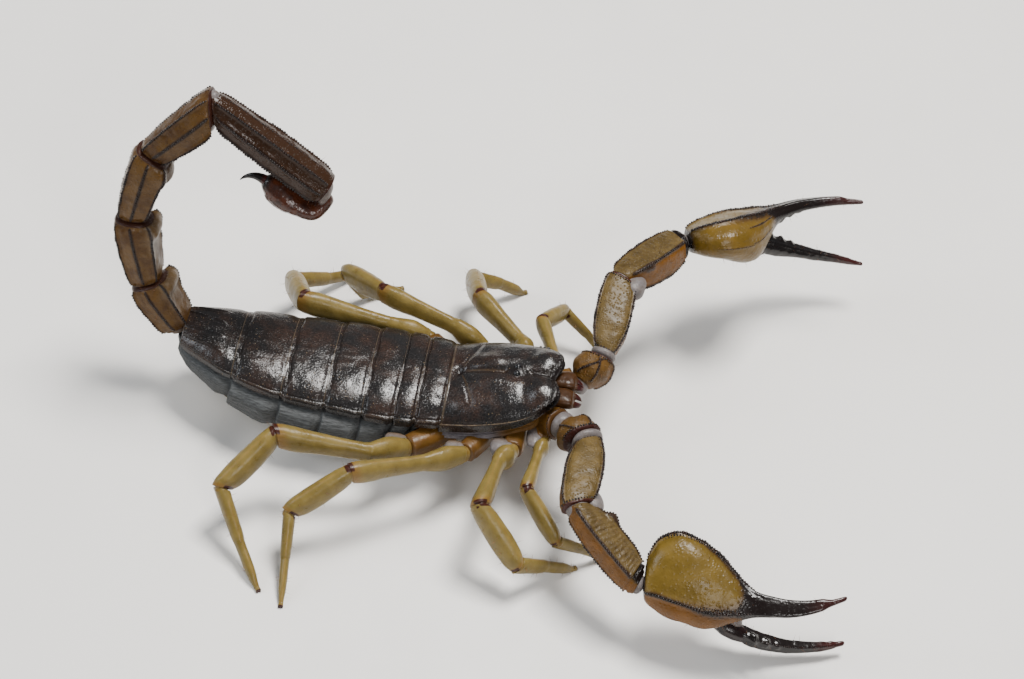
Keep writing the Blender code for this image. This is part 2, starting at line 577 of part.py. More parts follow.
def build_leg(i, name, material):
    """One leg in three pieces; its last piece comes down to a small flat on the floor."""
    side, depth = SIDES[name], LEG_DEPTH[i] / 2
    femur_pose, patella_pose, tibia_pose = LEG_POSE[name][i]
    path = trochanter_path(i, side)
    for pose, length in zip((femur_pose, patella_pose, tibia_pose),
                            (LEG_FEMUR[i], LEG_PATELLA[i], LEG_TIBIA[i])):
        path.append(path[-1] + direction(*pose, side) * length)
    drop = path[-1].z - TARSUS_TIP * 0.42
    slope = -math.degrees(math.asin(drop / LEG_TARSUS[i]))
    path.append(path[-1] + direction(tibia_pose[0], slope, side) * LEG_TARSUS[i])
    path.append(path[-1] + direction(tibia_pose[0], 0, side) * TOE_LENGTH)
    axes = [(b - a).normalized() for a, b in zip(path, path[1:])]
    up, flat = Vector((0, 0, 1)), LEG_FLATNESS
    title = f"leg_{i + 1}_{name}"
    first = path[0] + axes[0] * GAP / 2
    femur = [(w, d * flat * depth, d * depth, d * depth, 2.3) for w, d in
             ((0, 0.8), (0.5, 1.05), (1, 0.8), (1.08, 0.72), (1.5, 0.82), (1.85, 0.98), (2, 0.9))]
    rings = limb_rings([first, path[1], path[2]], femur, up, None, axes[2])
    make_object(title + "_femur", loft(rings), material)
    patella = [(w, d * flat * depth, d * depth, d * depth, 2.3) for w, d in
               ((0, 0.82), (0.18, 0.95), (0.6, 1.04), (0.88, 0.95), (1, 0.75))]
    rings = limb_rings(path[2:4], patella, up, axes[1], axes[3])
    make_object(title + "_patella", loft(rings), material)
    shin = [(w, d * flat * depth, d * depth, d * depth, 2.2) for w, d in
            ((0, 0.68), (0.2, 0.66), (0.9, 0.56), (1, 0.5), (1.1, 0.48), (1.7, 0.42))]
    tip = TARSUS_TIP / 2
    shin += [(2, tip, tip, tip, 3), (3, tip, tip, tip, 3)]
    rings = limb_rings(path[3:7], shin, up, axes[2], None)
    for ring in rings:
        for p in ring:
            p.z = max(p.z, 0.0)
    make_object(title + "_foot", loft(rings), material)


# ---------------------------------------------------------------- the whole animal

def stand_on_origin():
    """Parent every piece to one empty, moved so that the box's bottom centre is the origin."""
    corners = [piece.matrix_world @ v.co for piece in scorpion.objects for v in piece.data.vertices]
    low = [min(c[k] for c in corners) for k in range(3)]
    high = [max(c[k] for c in corners) for k in range(3)]
    root = bpy.data.objects.new("scorpion_root", None)
    root.empty_display_size = 10 * MM
    pieces = list(scorpion.objects)
    scorpion.objects.link(root)
    root.location = (-(low[0] + high[0]) / 2, -(low[1] + high[1]) / 2, -low[2])
    for piece in pieces:
        piece.parent = root


for old in list(bpy.data.objects):
    bpy.data.objects.remove(old)
scorpion = bpy.data.collections.new("desert_scorpion")
bpy.context.scene.collection.children.link(scorpion)

dark_shell = colour("dark_shell", (0.035, 0.022, 0.018), 0.3)
brown_shell = colour("brown_shell", (0.16, 0.085, 0.03), 0.4)
black_shell = colour("black_shell", (0.012, 0.01, 0.01), 0.25)
red_shell = colour("red_shell", (0.14, 0.035, 0.015), 0.3)
olive_shell = colour("olive_shell", (0.22, 0.14, 0.045), 0.4)
leg_shell = colour("leg_shell", (0.5, 0.38, 0.13), 0.4)
jaw_shell = colour("jaw_shell", (0.3, 0.12, 0.03), 0.35)
soft_skin = colour("soft_skin", (0.12, 0.13, 0.15), 0.5)

RING_SIDES = 16
build_carapace(dark_shell)
build_eyes(black_shell)
build_tergites(dark_shell)
build_belly(soft_skin)
RING_SIDES = 12
build_chelicerae(jaw_shell)
build_pectines(leg_shell)
build_tail([brown_shell, brown_shell, brown_shell, brown_shell, dark_shell])
build_telson(red_shell, black_shell)
build_pedipalps(olive_shell, olive_shell, black_shell)
RING_SIDES = 8
build_prosoma_base(leg_shell)
for leg in range(4):
    for leg_side in SIDES:
        build_leg(leg, leg_side, leg_shell)
stand_on_origin()
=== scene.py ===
"""Desert scorpion in an alert stance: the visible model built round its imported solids."""

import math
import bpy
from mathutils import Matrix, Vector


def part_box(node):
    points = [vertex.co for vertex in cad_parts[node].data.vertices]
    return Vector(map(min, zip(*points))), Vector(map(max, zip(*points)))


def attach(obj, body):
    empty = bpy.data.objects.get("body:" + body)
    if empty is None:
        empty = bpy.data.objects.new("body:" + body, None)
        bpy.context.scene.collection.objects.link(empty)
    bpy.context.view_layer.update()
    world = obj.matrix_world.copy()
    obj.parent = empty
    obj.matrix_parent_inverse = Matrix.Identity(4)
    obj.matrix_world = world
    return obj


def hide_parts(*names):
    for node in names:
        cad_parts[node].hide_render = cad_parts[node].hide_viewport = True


bl_info = {
    "name": "Desert Scorpion",
    "version": (1, 0, 0),
    "blender": (4, 5, 0),
    "location": "View3D > Sidebar > Scorpion",
    "description": "Builds a life-size still model of a desert scorpion and its stage",
    "category": "Add Mesh",
}

import bpy
import numpy as np
from bpy.props import FloatProperty, FloatVectorProperty, PointerProperty
from mathutils import Matrix

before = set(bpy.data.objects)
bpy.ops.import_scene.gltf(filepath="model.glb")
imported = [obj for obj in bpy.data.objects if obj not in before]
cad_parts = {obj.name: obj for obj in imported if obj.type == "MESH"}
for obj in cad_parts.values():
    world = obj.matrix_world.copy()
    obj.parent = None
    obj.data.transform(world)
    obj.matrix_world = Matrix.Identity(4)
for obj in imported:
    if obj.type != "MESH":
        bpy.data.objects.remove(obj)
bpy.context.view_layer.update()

MM = 0.001
SIDES = {"left": 1, "right": -1}

# Head and trunk, in millimetres: X forwards, Y to the animal's left, Z up from the floor.
HEAD_ORIGIN = np.array((-7.3, 0.0, 8.9))
HEAD_PITCH = math.radians(17)
CARAPACE_WIDTH = [(0, 6.8), (0.3, 7.0), (0.55, 6.8), (0.75, 6.3), (0.9, 5.7), (1, 5.0)]
CARAPACE_HEIGHT = [(0, 3.1), (0.3, 3.1), (0.6, 3.0), (0.85, 2.5), (0.95, 2.1), (1, 1.5)]
CARAPACE_LENGTH = 14.3
NOTCH_DEPTH = 1.2
EYE = (8.9, 0.54, 2.8)
COMB_TEETH = 12
TERGITE_X = [-7.45, -10.7, -13.2, -17.0, -21.7, -27.0, -33.3, -40.5]
TERGITE_WIDTH = [(-40.5, 3.2), (-33.3, 5.6), (-27, 6.8), (-19, 7.4), (-13, 7.5), (-7, 6.9)]
TERGITE_EDGE = [(-40.5, 9.3), (-33.3, 9.2), (-27, 8.9), (-20, 8.8), (-13, 8.8), (-7, 9.1)]
TERGITE_TOP = [(-40.5, 11.3), (-33.3, 11.4), (-27, 11.3), (-20, 11.3), (-13, 11.6), (-7, 12.0)]
BELLY_WIDTH = [(-40.5, 3.1), (-33.3, 6.3), (-27, 7.9), (-20, 8.5), (-15, 7.8), (-11, 6.4), (-7, 5.4)]
BELLY_FLOOR = [(-40.5, 6.9), (-33.3, 4.2), (-27, 2.8), (-20, 2.5), (-15, 2.8), (-11, 4.4), (-7, 5.4)]
BELLY_PLATE_X = [-14.5, -19.5, -24.5, -29.5, -34.5, -40.0]
BODY_BEND = [(-40.5, 1.3), (-33.3, 0.1), (-27, -0.2), (-20, -0.1), (-7, 0)]

# Tail.
TAIL_BASE = np.array((-41.25, 1.8, 9.4))
TAIL_LEAN = math.radians(12)
TAIL_LENGTH = [7.1, 9.0, 9.3, 10.1, 16.2]
TAIL_PITCH = [127, 105, 79, 49, -30]
TAIL_WIDTH = [(2.2, 2.5), (2.1, 2.45), (2.0, 2.35), (1.9, 2.2), (1.8, 2.1)]
TAIL_DEPTH = [(2.1, 2.4), (2.05, 2.4), (1.95, 2.3), (1.85, 2.2), (1.8, 2.0)]

# Claw arms and legs. Poses are (heading outwards from forwards, pitch) in degrees.
PALP_JOINT = {"right": (7.2, 5.0, 11.4), "left": (8.3, 4.2, 9.55)}
PALP_ELBOW = {"right": (10.1, 7.2, 12.0), "left": (10.5, 7.6, 11.55)}
PALP_LENGTH = {"femur": 10.3, "patella": 11.3, "hand": 24.0}
PATELLA_TILT = {"right": (0.1, 0.12, 1), "left": (0, 0.5, 1)}
FINGER_REACH = {"right": 1.03, "left": 1.16}
HAND_REACH = {"right": 1.0, "left": 1.04}
HAND_UNDER = {"right": [(0, 0.62), (4, 0.68), (7, 0.88), (10, 1.1), (13, 1), (24, 1)],
              "left": [(0, 1.35), (4, 1.35), (8, 1.28), (11, 1.15), (13, 1), (24, 1)]}
FINGER_DROP = {"right": 1.0, "left": 1.35}
PATELLA_UNDER = {"right": 0.64, "left": 1.0}
PATELLA_BREADTH = {"right": 0.87, "left": 1.0}
PALP_POSE = {"right": {"femur": (90, 0), "patella": (37, -20), "hand": (-2, 6), "roll": 42},
             "left": {"femur": (86, 20), "patella": (52, 0), "hand": (25, 4), "roll": 35}}
LEG_HIP = [(5.1, 6.1, 8.9), (1.4, 7.9, 8.3), (-4.2, 8.8, 7.4), (-11.2, 9.1, 6.9)]
LEG_TROCHANTER = {"right": [(4.7, 7.9, 9.2), (0.2, 9.9, 8.6), (-8.1, 11.8, 8.4), (-15.1, 12.1, 8.5)],
                  "left": [(4.7, 7.9, 9.2), (0.2, 9.9, 8.6), (-8.1, 10.0, 9.1), (-15.8, 9.3, 7.8)]}
COXA_ROOT = [(10.3, 1.6, -3.4), (8.2, 1.6, -3.6), (6.2, 1.8, -3.6), (3.2, 1.8, -3.2)]
LEG_LENGTH = [(6.2, 7.1, 4.5, 4.2), (8.3, 8.3, 4.5, 4.6), (10.2, 8.4, 5.5, 5.2), (11.5, 8.7, 6.6, 5.8)]
LEG_POSE = {"right": [((97, 2), (39, -34), (-26, -35)), ((99, 7), (33, -37), (-33, -27)),
                      ((149, 9), (146, -29), (83, -42)), ((172, 9), (129, -27), (54, -34))],
            "left": [((112, -2), (64, -28), (-15, -35)), ((137, 4), (101, -29), (30, -28)),
                     ((163, 3), (133, -25), (35, -60)), ((180, 8), (110, -29), (47, -27))]}
LEG_DEPTH = [2.5, 3.3, 3.1, 3.5]
LEG_FLATNESS = 0.72
TARSUS_TIP = 0.6
ELBOW_SKIN = {"right": 2.0, "left": 2.2}
TOE_LENGTH = 0.55
GAP = 0.3            # between two segments at a joint
END_DOME = 0.14      # height of a segment's end, as a share of its half width


# ---- sizes and colours

def length(name, description, millimetres):
    """A size that the sidebar shows as a length."""
    return FloatProperty(name=name, description=description, default=millimetres * MM,
                         min=0.0, unit="LENGTH", precision=5)


def turn(name, description, degrees):
    """An angle that the sidebar shows in degrees."""
    return FloatProperty(name=name, description=description, default=math.radians(degrees),
                         subtype="ANGLE")


def share(name, description, value):
    """A plain number."""
    return FloatProperty(name=name, description=description, default=value, min=0.0)


def tint(name, description, rgb):
    """A colour of one part of the animal."""
    return FloatVectorProperty(name=name, description=description, default=rgb, size=3,
                               min=0.0, max=1.0, subtype="COLOR")


class SCORPION_PG_sizes(bpy.types.PropertyGroup):
    """Sizes of the surface details."""
    plate_lip: length("Plate lip", "How far a back plate's rear edge reaches over the next", 0.28)
    furrow: length("Furrow", "Depth of the head shield's middle furrow", 0.34)
    keel: length("Keel height", "Height of the keels on arms and tail", 0.22)
    bead_gap: length("Bead gap", "Distance between beads along a keel", 0.34)
    bead: length("Bead size", "Radius of a bead on a keel", 0.185)
    bristle: length("Bristle length", "Length of a long bristle", 1.0)
    bristle_root: length("Bristle root", "Radius of a bristle at its root", 0.022)


class SCORPION_PG_colours(bpy.types.PropertyGroup):
    """Colours of the animal and its floor."""
    plate: tint("Back plates", "Near-black shell of the back and head", (0.0115, 0.0105, 0.0105))
    plate_red: tint("Shell red", "Warm brown that shows through the dark shell", (0.022, 0.012, 0.0085))
    rim: tint("Plate rim", "Tan line along plate edges", (0.13, 0.09, 0.05))
    skin: tint("Side skin", "Grey-blue soft skin of the sides", (0.052, 0.055, 0.056))
    joint: tint("Joint skin", "Lilac-white skin inside the joints", (0.128, 0.113, 0.112))
    arm: tint("Claw arm", "Tan faces of the claw arm", (0.088, 0.057, 0.017))
    amber: tint("Amber", "Orange sides of arms and hands", (0.118, 0.046, 0.0035))
    hand: tint("Hand", "Mustard face of the hand", (0.110, 0.068, 0.009))
    keel: tint("Keels", "Black-brown of keels and fingers", (0.007, 0.0045, 0.004))
    leg: tint("Legs", "Waxy yellow of the legs", (0.160, 0.114, 0.030))
    coxa: tint("Leg bases", "Orange-brown of the leg bases", (0.11, 0.052, 0.010))
    tail: tint("Tail", "Olive brown of the tail", (0.090, 0.046, 0.012))
    sting: tint("Sting bulb", "Red-brown of the sting's bulb", (0.066, 0.018, 0.007))
    jaw: tint("Jaws", "Brown of the jaws", (0.038, 0.0145, 0.0035))
    bristle: tint("Bristles", "Rust colour of the bristles", (0.30, 0.11, 0.03))
    floor: tint("Floor", "Pale floor", (0.80, 0.78, 0.75))


class SCORPION_PG_stage(bpy.types.PropertyGroup):
    """Camera and lights."""
    distance: length("Camera distance", "Distance from the camera to the point it looks at", 291)
    elevation: turn("Camera elevation", "Angle of the view above the floor", 47)
    roll: turn("Camera roll", "Turn of the picture about the view", 10.5)
    lens: share("Lens", "Focal length in millimetres on a 36 mm sensor", 85.0)
    key: share("Lights", "Power of all the soft lights, as a share of their usual power", 1.0)


def size(name):
    """A surface size in millimetres."""
    return getattr(bpy.context.scene.scorpion_sizes, name) / MM


def hue(name):
    """A colour as red, green and blue."""
    return tuple(getattr(bpy.context.scene.scorpion_colours, name))


# ---- curves and fields

def unit(v):
    return v / np.maximum(np.linalg.norm(v, axis=-1, keepdims=True), 1e-9)


def spline(knots, values, t):
    """Smooth curve through values at rising knots, read at every number in t."""
    knots, values = np.asarray(knots, float), np.asarray(values, float)
    t = np.clip(np.asarray(t, float), knots[0], knots[-1])
    plain = values.ndim == 1
    if plain:
        values = values[:, None]
    gap = np.diff(knots)[:, None]
    slope = np.diff(values, axis=0) / gap
    tangent = np.vstack([slope[:1], (values[2:] - values[:-2]) / (gap[1:] + gap[:-1]), slope[-1:]])
    i = np.clip(np.searchsorted(knots, t, side="right") - 1, 0, len(knots) - 2)
    h = gap[i, 0][..., None]
    s = (t - knots[i])[..., None] / h
    line = ((2 * s ** 3 - 3 * s ** 2 + 1) * values[i] + (s ** 3 - 2 * s ** 2 + s) * h * tangent[i]
            + (3 * s ** 2 - 2 * s ** 3) * values[i + 1] + (s ** 3 - s ** 2) * h * tangent[i + 1])
    return line[..., 0] if plain else line


def along(pairs, t):
    """Smooth value at t through (place, value) pairs."""
    return spline([p[0] for p in pairs], [p[1] for p in pairs], t)


def step(low, high, t):
    """0 below low, 1 above high, smooth between."""
    s = np.clip((np.asarray(t, float) - low) / (high - low), 0, 1)
    return s * s * (3 - 2 * s)


def hump(t, centre, width):
    return np.exp(-((t - centre) / width) ** 2)


def lumps(points, size, seed=0):
    """Smooth random heights between -1 and 1, with lumps about size apart."""
    q = points / size + seed * 7.31
    cell = np.floor(q).astype(np.int64)
    f = q - cell
    f = f * f * (3 - 2 * f)
    total = 0.0
    for corner in np.ndindex(2, 2, 2):
        c = cell + np.array(corner)
        mixed = (c[..., 0] * 73856093) ^ (c[..., 1] * 19349663) ^ (c[..., 2] * 83492791)
        mixed = (mixed * 2654435761 + 974711) & 0xFFFFFFFF
        weight = np.prod([f[..., k] if corner[k] else 1 - f[..., k] for k in range(3)], axis=0)
        total = total + (((mixed >> 9) & 0xFFFF) / 32767.5 - 1) * weight
    return total


def direction(heading, pitch, side=1):
    """Unit vector: heading outwards from +X on one side, pitch upwards, in degrees."""
    h, p = math.radians(heading), math.radians(pitch)
    return np.array((math.cos(h) * math.cos(p), side * math.sin(h) * math.cos(p), math.sin(p)))


def on_side(place, side):
    """A place given for the left side, moved to side."""
    x, y, z = place
    return np.array((x, side * y, z))


def square_to(axis, lift):
    """The lift direction made square to axis."""
    return unit(lift - axis * np.sum(lift * axis, axis=-1, keepdims=True))


def head_point(x, y, z):
    """A place in the head's own frame, as a place on the animal."""
    c, s = math.cos(HEAD_PITCH), math.sin(HEAD_PITCH)
    x, y, z = np.broadcast_arrays(x, y, z)
    return HEAD_ORIGIN + np.stack([c * x - s * z, y, s * x + c * z], -1)


def tail_point(x, z):
    """A place in the leaning plane of the tail, measured from the tail's base."""
    return TAIL_BASE + np.array((x, z * math.sin(TAIL_LEAN), z * math.cos(TAIL_LEAN)))


def tail_direction(pitch):
    p = math.radians(pitch)
    return tail_point(math.cos(p), math.sin(p)) - TAIL_BASE


def origin():
    """Shift from the animal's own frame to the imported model's, found at the eyes."""
    boxes = [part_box("eye_" + name) for name in SIDES]
    middle = sum(np.array(corner) for box in boxes for corner in box) / 4 / MM
    return middle - head_point(EYE[0], 0, EYE[2])


SHIFT = origin()
FORWARD, UP = np.array((1.0, 0.0, 0.0)), np.array((0.0, 0.0, 1.0))


# ---- surfaces

class Shell:
    """A closed surface made of rings, which knows its place along and around at every point."""

    def __init__(self, points, along, around, rounded=True):
        self.points, self.along, self.around, self.rounded = points, along, around, rounded
        self.marks, self.keels = {}, []

    def normals(self):
        rows = np.gradient(self.points, axis=0)
        ring = np.roll(self.points, -1, axis=1) - np.roll(self.points, 1, axis=1)
        normal = unit(np.cross(ring, rows))
        outward = self.points - self.points.mean(axis=1, keepdims=True)
        if np.sum(normal[2:-2] * outward[2:-2]) < 0:
            normal = -normal
        return normal

    def lift(self, height):
        """Move the surface outwards by height, except at its very ends."""
        height = np.broadcast_to(height, self.along.shape)
        if self.rounded:
            height = height * step(0, 0.02, self.along) * (1 - step(0.98, 1, self.along))
        self.points = self.points + self.normals() * height[..., None]
        return self

    def mark(self, name, value):
        """Keep the larger of the old and new value of a mark."""
        value = np.broadcast_to(value, self.along.shape)
        self.marks[name] = np.maximum(self.marks.get(name, 0.0), value)
        return self

    def facing(self, degrees, spread=60):
        """1 where the surface looks towards an angle round the shell, fading to 0."""
        return step(math.cos(math.radians(spread)), 1, np.cos(self.around - math.radians(degrees)))

    def flanks(self, degrees, spread):
        """1 where the surface looks towards an angle or its mirror image, fading to 0."""
        return np.maximum(self.facing(degrees, spread), self.facing(180 - degrees, spread))

    def wear(self, height, size, seed):
        """Make the surface slightly uneven, with lumps about size apart."""
        return self.lift(height * lumps(self.points, size, seed))

    def away(self, degrees):
        """Distance round the shell from an angle, or from (place, angle) pairs."""
        centre = along(degrees, self.along[:, :1]) if isinstance(degrees, list) else degrees
        girth = np.linalg.norm(self.points - self.points.mean(axis=1, keepdims=True), axis=2)
        return np.radians((np.degrees(self.around) - centre + 180) % 360 - 180) * girth

    def keel(self, degrees, height, width=0.3, start=0.05, end=0.95, beads=1.0, mark="keel", paint=0.75):
        """Raise a ridge along the shell, and remember where its beads go."""
        fade = step(start - 0.03, start + 0.03, self.along) * (1 - step(end - 0.03, end + 0.03, self.along))
        ridge = hump(self.away(degrees), 0, width)
        if mark:
            self.mark(mark, hump(self.away(degrees), 0, width * paint) * fade)
        self.lift(height * ridge * fade)
        if beads:
            self.keels.append((degrees, start, end, beads))
        return self

    def bead_lines(self):
        """Points, outward directions and bead sizes along every keel."""
        normal, lines = self.normals(), []
        for degrees, start, end, bead in self.keels:
            rows = np.flatnonzero((self.along[:, 0] > start) & (self.along[:, 0] < end))
            if len(rows) < 3:
                continue
            centre = along(degrees, self.along[:, 0]) if isinstance(degrees, list) else degrees
            angle = np.radians(np.broadcast_to(centre, len(self.along)))[rows]
            gap = np.abs((self.around[rows] - angle[:, None] + math.pi) % (2 * math.pi) - math.pi)
            column = np.argmin(gap, axis=1)
            taper = bead * (0.7 + 0.3 * np.sin(np.pi * np.linspace(0.08, 0.92, len(rows))))
            outward = normal[rows, column]
            lines.append((self.points[rows, column] - BEAD_SUNK * outward, outward, taper))
        return lines


def sections(middle, axis, lift, sizes, side, sides):
    """Points of superellipse rings: angle 0 is outwards on the given side, 90 is up."""
    lift = square_to(axis, lift)
    out = np.cross(lift, axis) * side
    width, top, low, power = sizes
    around = np.arange(sides) * 2 * math.pi / sides
    c, s = np.cos(around)[None], np.sin(around)[None]
    exponent = (2 / power)[:, None]
    x = np.sign(c) * np.abs(c) ** exponent * width[:, None]
    z = np.sign(s) * np.abs(s) ** exponent * np.where(s > 0, top[:, None], low[:, None])
    return middle[:, None] + out[:, None] * x[..., None] + lift[:, None] * z[..., None], around


def sweep(stations, rows=90, sides=64, ends=(0.6, 0.6), side=1):
    """Shell through stations (centre, axis, up, half width, top, bottom, power), ends rounded."""
    centre = np.array([s[0] for s in stations])
    distance = np.concatenate([[0], np.cumsum(np.linalg.norm(np.diff(centre, axis=0), axis=1))])
    cap = np.array(ends) / distance[-1]
    edge = np.linspace(0, math.pi / 2, 8)[:-1]
    t = np.linspace(0, 1, rows)
    t = np.concatenate([(1 - np.cos(edge)) * cap[0], t[(t > cap[0]) & (t < 1 - cap[1])],
                        1 - ((1 - np.cos(edge)) * cap[1])[::-1]])
    shrink = np.sqrt(np.clip(1 - np.clip(1 - t / cap[0], 0, 1) ** 2, 0, 1)
                     * np.clip(1 - np.clip(1 - (1 - t) / cap[1], 0, 1) ** 2, 0, 1))
    shrink = np.maximum(shrink, 0.02)
    at = t * distance[-1]
    width, top, low, power = (spline(distance, [s[k] for s in stations], at) for k in (3, 4, 5, 6))
    points, around = sections(spline(distance, centre, at),
                              unit(spline(distance, [s[1] for s in stations], at)),
                              spline(distance, [s[2] for s in stations], at),
                              (width * shrink, top * shrink, low * shrink, power), side, sides)
    return Shell(points, np.repeat(t[:, None], sides, 1), np.repeat(around[None], len(t), 0))


def limb(path, stations, up, start=None, end=None, rows=70, sides=56, side=1):
    """Shell along a bent path, its ends cut along the planes that halve the bends.

    stations are (corner index + fraction, half width, top, bottom, power). start and end are
    the directions of the neighbouring segments.
    """
    axes = [unit(b - a) for a, b in zip(path, path[1:])]
    planes = []
    for i, point in enumerate(path):
        before = axes[i - 1] if i else (axes[0] if start is None else start)
        after = axes[i] if i < len(axes) else (axes[-1] if end is None else end)
        normal = unit(before + after)
        shift = GAP / 2 if i == 0 and start is not None else (
            -GAP / 2 if i == len(axes) and end is not None else 0)
        planes.append((point + normal * shift, normal))
    knots = [s[0] for s in stations]
    total = knots[-1]
    where = np.linspace(0, total, rows)
    edge = total * 0.012 * np.array([0, 0.3, 1, 2])
    where = np.unique(np.concatenate([where, edge, total - edge]))
    where[-1] = total
    shape = [spline(knots, [s[k] for s in stations], where) for k in (1, 2, 3, 4)]
    rings = []
    for j, w in enumerate(where):
        k = min(int(w), len(axes) - 1)
        axis, t = axes[k], w - k
        ring, around = sections(path[k][None], axis[None], np.asarray(up, float)[None],
                                [np.array([s[j]]) for s in shape], side, sides)
        ring = ring[0]
        cuts = [((q - ring) @ n)[:, None] / (axis @ n) for q, n in planes[k:k + 2]]
        rings.append(ring + axis * (cuts[0] + t * (cuts[1] - cuts[0])))
    rings = np.array(rings)
    place = where / total
    # Round each end over with a low dome.
    for last in (False, True):
        rim = rings[-1] if last else rings[0]
        normal = planes[-1][1] if last else -planes[0][1]
        middle = rim.mean(axis=0)
        reach = np.linalg.norm(rim - middle, axis=1).mean() * END_DOME
        extra = [middle + (rim - middle) * math.cos(a) + normal * reach * math.sin(a)
                 for a in np.radians((20, 40, 58, 72, 83, 88.5))]
        marks = np.full(len(extra), 1.0 if last else 0.0)
        if last:
            rings, place = np.concatenate([rings, extra]), np.concatenate([place, marks])
        else:
            rings, place = np.concatenate([extra[::-1], rings]), np.concatenate([marks, place])
    return Shell(rings, np.repeat(place[:, None], sides, 1), np.repeat(around[None], len(place), 0))


def blob(middle, axis, up, reach, wide, high, ends, narrow=1.0, power=2.2, rows=30, sides=48, side=1):
    """A short plump shell across a joint, narrow times as wide at its two ends."""
    return sweep([(middle + axis * (t * reach), axis, up, wide * w, high * w, high * w, power)
                  for t, w in ((-1, narrow), (0, 1), (1, narrow))], rows, sides, (ends, ends), side)


def spread(surface, rows, columns):
    """Shell between two faces: a function of u (0 to 1), v (-1 to 1) and whether it is the top."""
    u = (1 - np.cos(np.linspace(0, math.pi, rows))) / 2
    v = np.sin(np.linspace(-math.pi / 2, math.pi / 2, columns))
    over_u, over_v = np.meshgrid(u, v, indexing="ij")
    low_u, low_v = np.meshgrid(u, v[::-1][1:-1], indexing="ij")
    points = np.concatenate([surface(over_u, over_v, True), surface(low_u, low_v, False)], axis=1)
    around = np.concatenate([over_v, 2 - low_v], axis=1)
    shell = Shell(points, np.concatenate([over_u, low_u], axis=1), around, rounded=False)
    shell.upper = (np.arange(points.shape[1]) < columns) * np.ones(around.shape)
    shell.across = np.concatenate([over_v, low_v], axis=1)
    return shell


MARKS = ("keel", "rim", "glow", "dark", "hair")
COATED = {}          # shells that bristles grow on, by the name of their coat
BEAD_SUNK = 0.02     # how far a bead's centre lies under the keel's crest


def placed(points):
    """Places in millimetres on the animal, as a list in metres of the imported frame."""
    return ((np.concatenate(points) + SHIFT) * MM).tolist()


def store(mesh, name, kind, key, values):
    """Write an attribute of a mesh's points."""
    mesh.attributes.new(name, kind, "POINT").data.foreach_set(
        key, np.concatenate(values).ravel().astype(np.float32))


def mesh_of(name, shells):
    """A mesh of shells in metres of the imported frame. Each shell has its own strip of the map."""
    vertices, faces, maps, marks, start = [], [], [], {m: [] for m in MARKS}, 0
    for k, shell in enumerate(shells):
        rows, sides = shell.along.shape
        flat = np.concatenate([shell.points.reshape(-1, 3),
                               [shell.points[0].mean(axis=0), shell.points[-1].mean(axis=0)]])
        index = np.arange(rows * sides).reshape(rows, sides)
        a, b = index[:-1], index[1:]
        quads = np.stack([a, np.roll(a, -1, 1), np.roll(b, -1, 1), b], -1).reshape(-1, 4)
        corner = (flat - flat.mean(axis=0))[quads]
        outwards = np.sum(np.cross(corner[:, 1] - corner[:, 0], corner[:, 3] - corner[:, 0])
                          * corner.mean(axis=1)) > 0
        u = (k + 0.01 + 0.98 * np.arange(sides + 1) / sides) / len(shells)
        v = 0.01 + 0.98 * np.maximum.accumulate(shell.along.mean(axis=1))
        low, high = np.tile(u[:-1], rows - 1), np.tile(u[1:], rows - 1)
        near, far = np.repeat(v[:-1], sides), np.repeat(v[1:], sides)
        groups = [(quads, np.stack([np.stack(pair, -1) for pair in
                                    ((low, near), (high, near), (high, far), (low, far))], 1))]
        for ring, pole, level, flip in ((index[0], rows * sides, 0.0, True),
                                        (index[-1], rows * sides + 1, 1.0, False)):
            fan = np.stack([ring, np.roll(ring, -1), np.full(sides, pole)], -1)
            edge = np.full(sides, v[-1] if level else v[0])
            fan_map = np.stack([np.stack(pair, -1) for pair in
                                ((u[:-1], edge), (u[1:], edge),
                                 ((u[:-1] + u[1:]) / 2, np.full(sides, level)))], 1)
            groups.append((fan[:, ::-1], fan_map[:, ::-1]) if flip else (fan, fan_map))
        for group, group_map in groups:
            if not outwards:
                group, group_map = group[:, ::-1], group_map[:, ::-1]
            faces += (group + start).tolist()
            maps.append(group_map.reshape(-1, 2))
        vertices.append(flat)
        for m in MARKS:
            value = np.broadcast_to(shell.marks.get(m, 0.0), shell.along.shape)
            marks[m].append(np.append(value.reshape(-1), [value[0].mean(), value[-1].mean()]))
        start += len(flat)
    mesh = bpy.data.meshes.new(name)
    mesh.from_pydata(placed(vertices), [], faces)
    mesh.uv_layers.new(name="UVMap").data.foreach_set(
        "uv", np.concatenate(maps).ravel().astype(np.float32))
    for m in MARKS:
        store(mesh, m, "FLOAT", "value", marks[m])
    return mesh


def add_object(name, data):
    thing = bpy.data.objects.new(name, data)
    bpy.context.scene.collection.objects.link(thing)
    return thing


def build(name, shells, material, coat=None):
    """One object from shells. coat names the group of bristles that grow on them."""
    mesh = mesh_of(name, shells)
    mesh.materials.append(material)
    mesh.polygons.foreach_set("use_smooth", np.ones(len(mesh.polygons), bool))
    mesh.update()
    mesh.set_sharp_from_angle(angle=math.radians(55))
    if coat:
        COATED.setdefault(coat, []).extend(shells)
    return add_object(name, mesh)


def settle(piece, slot, *nodes):
    """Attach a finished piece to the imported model, in place of its solids."""
    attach(piece, "root")
    if nodes:
        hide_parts(*nodes)
    return piece


# ---- materials

def add_node(tree, kind, settings=None, sockets=None):
    """Add a node: its settings are set first, then its sockets' values or links."""
    made = tree.nodes.new(kind)
    for key, value in (settings or {}).items():
        setattr(made, key, value)
    for key, value in (sockets or {}).items():
        socket = made.inputs[key]
        if isinstance(value, bpy.types.NodeSocket):
            tree.links.new(value, socket)
        elif isinstance(value, tuple) and socket.type == "RGBA":
            socket.default_value = (*value, 1)
        else:
            socket.default_value = value
    return made


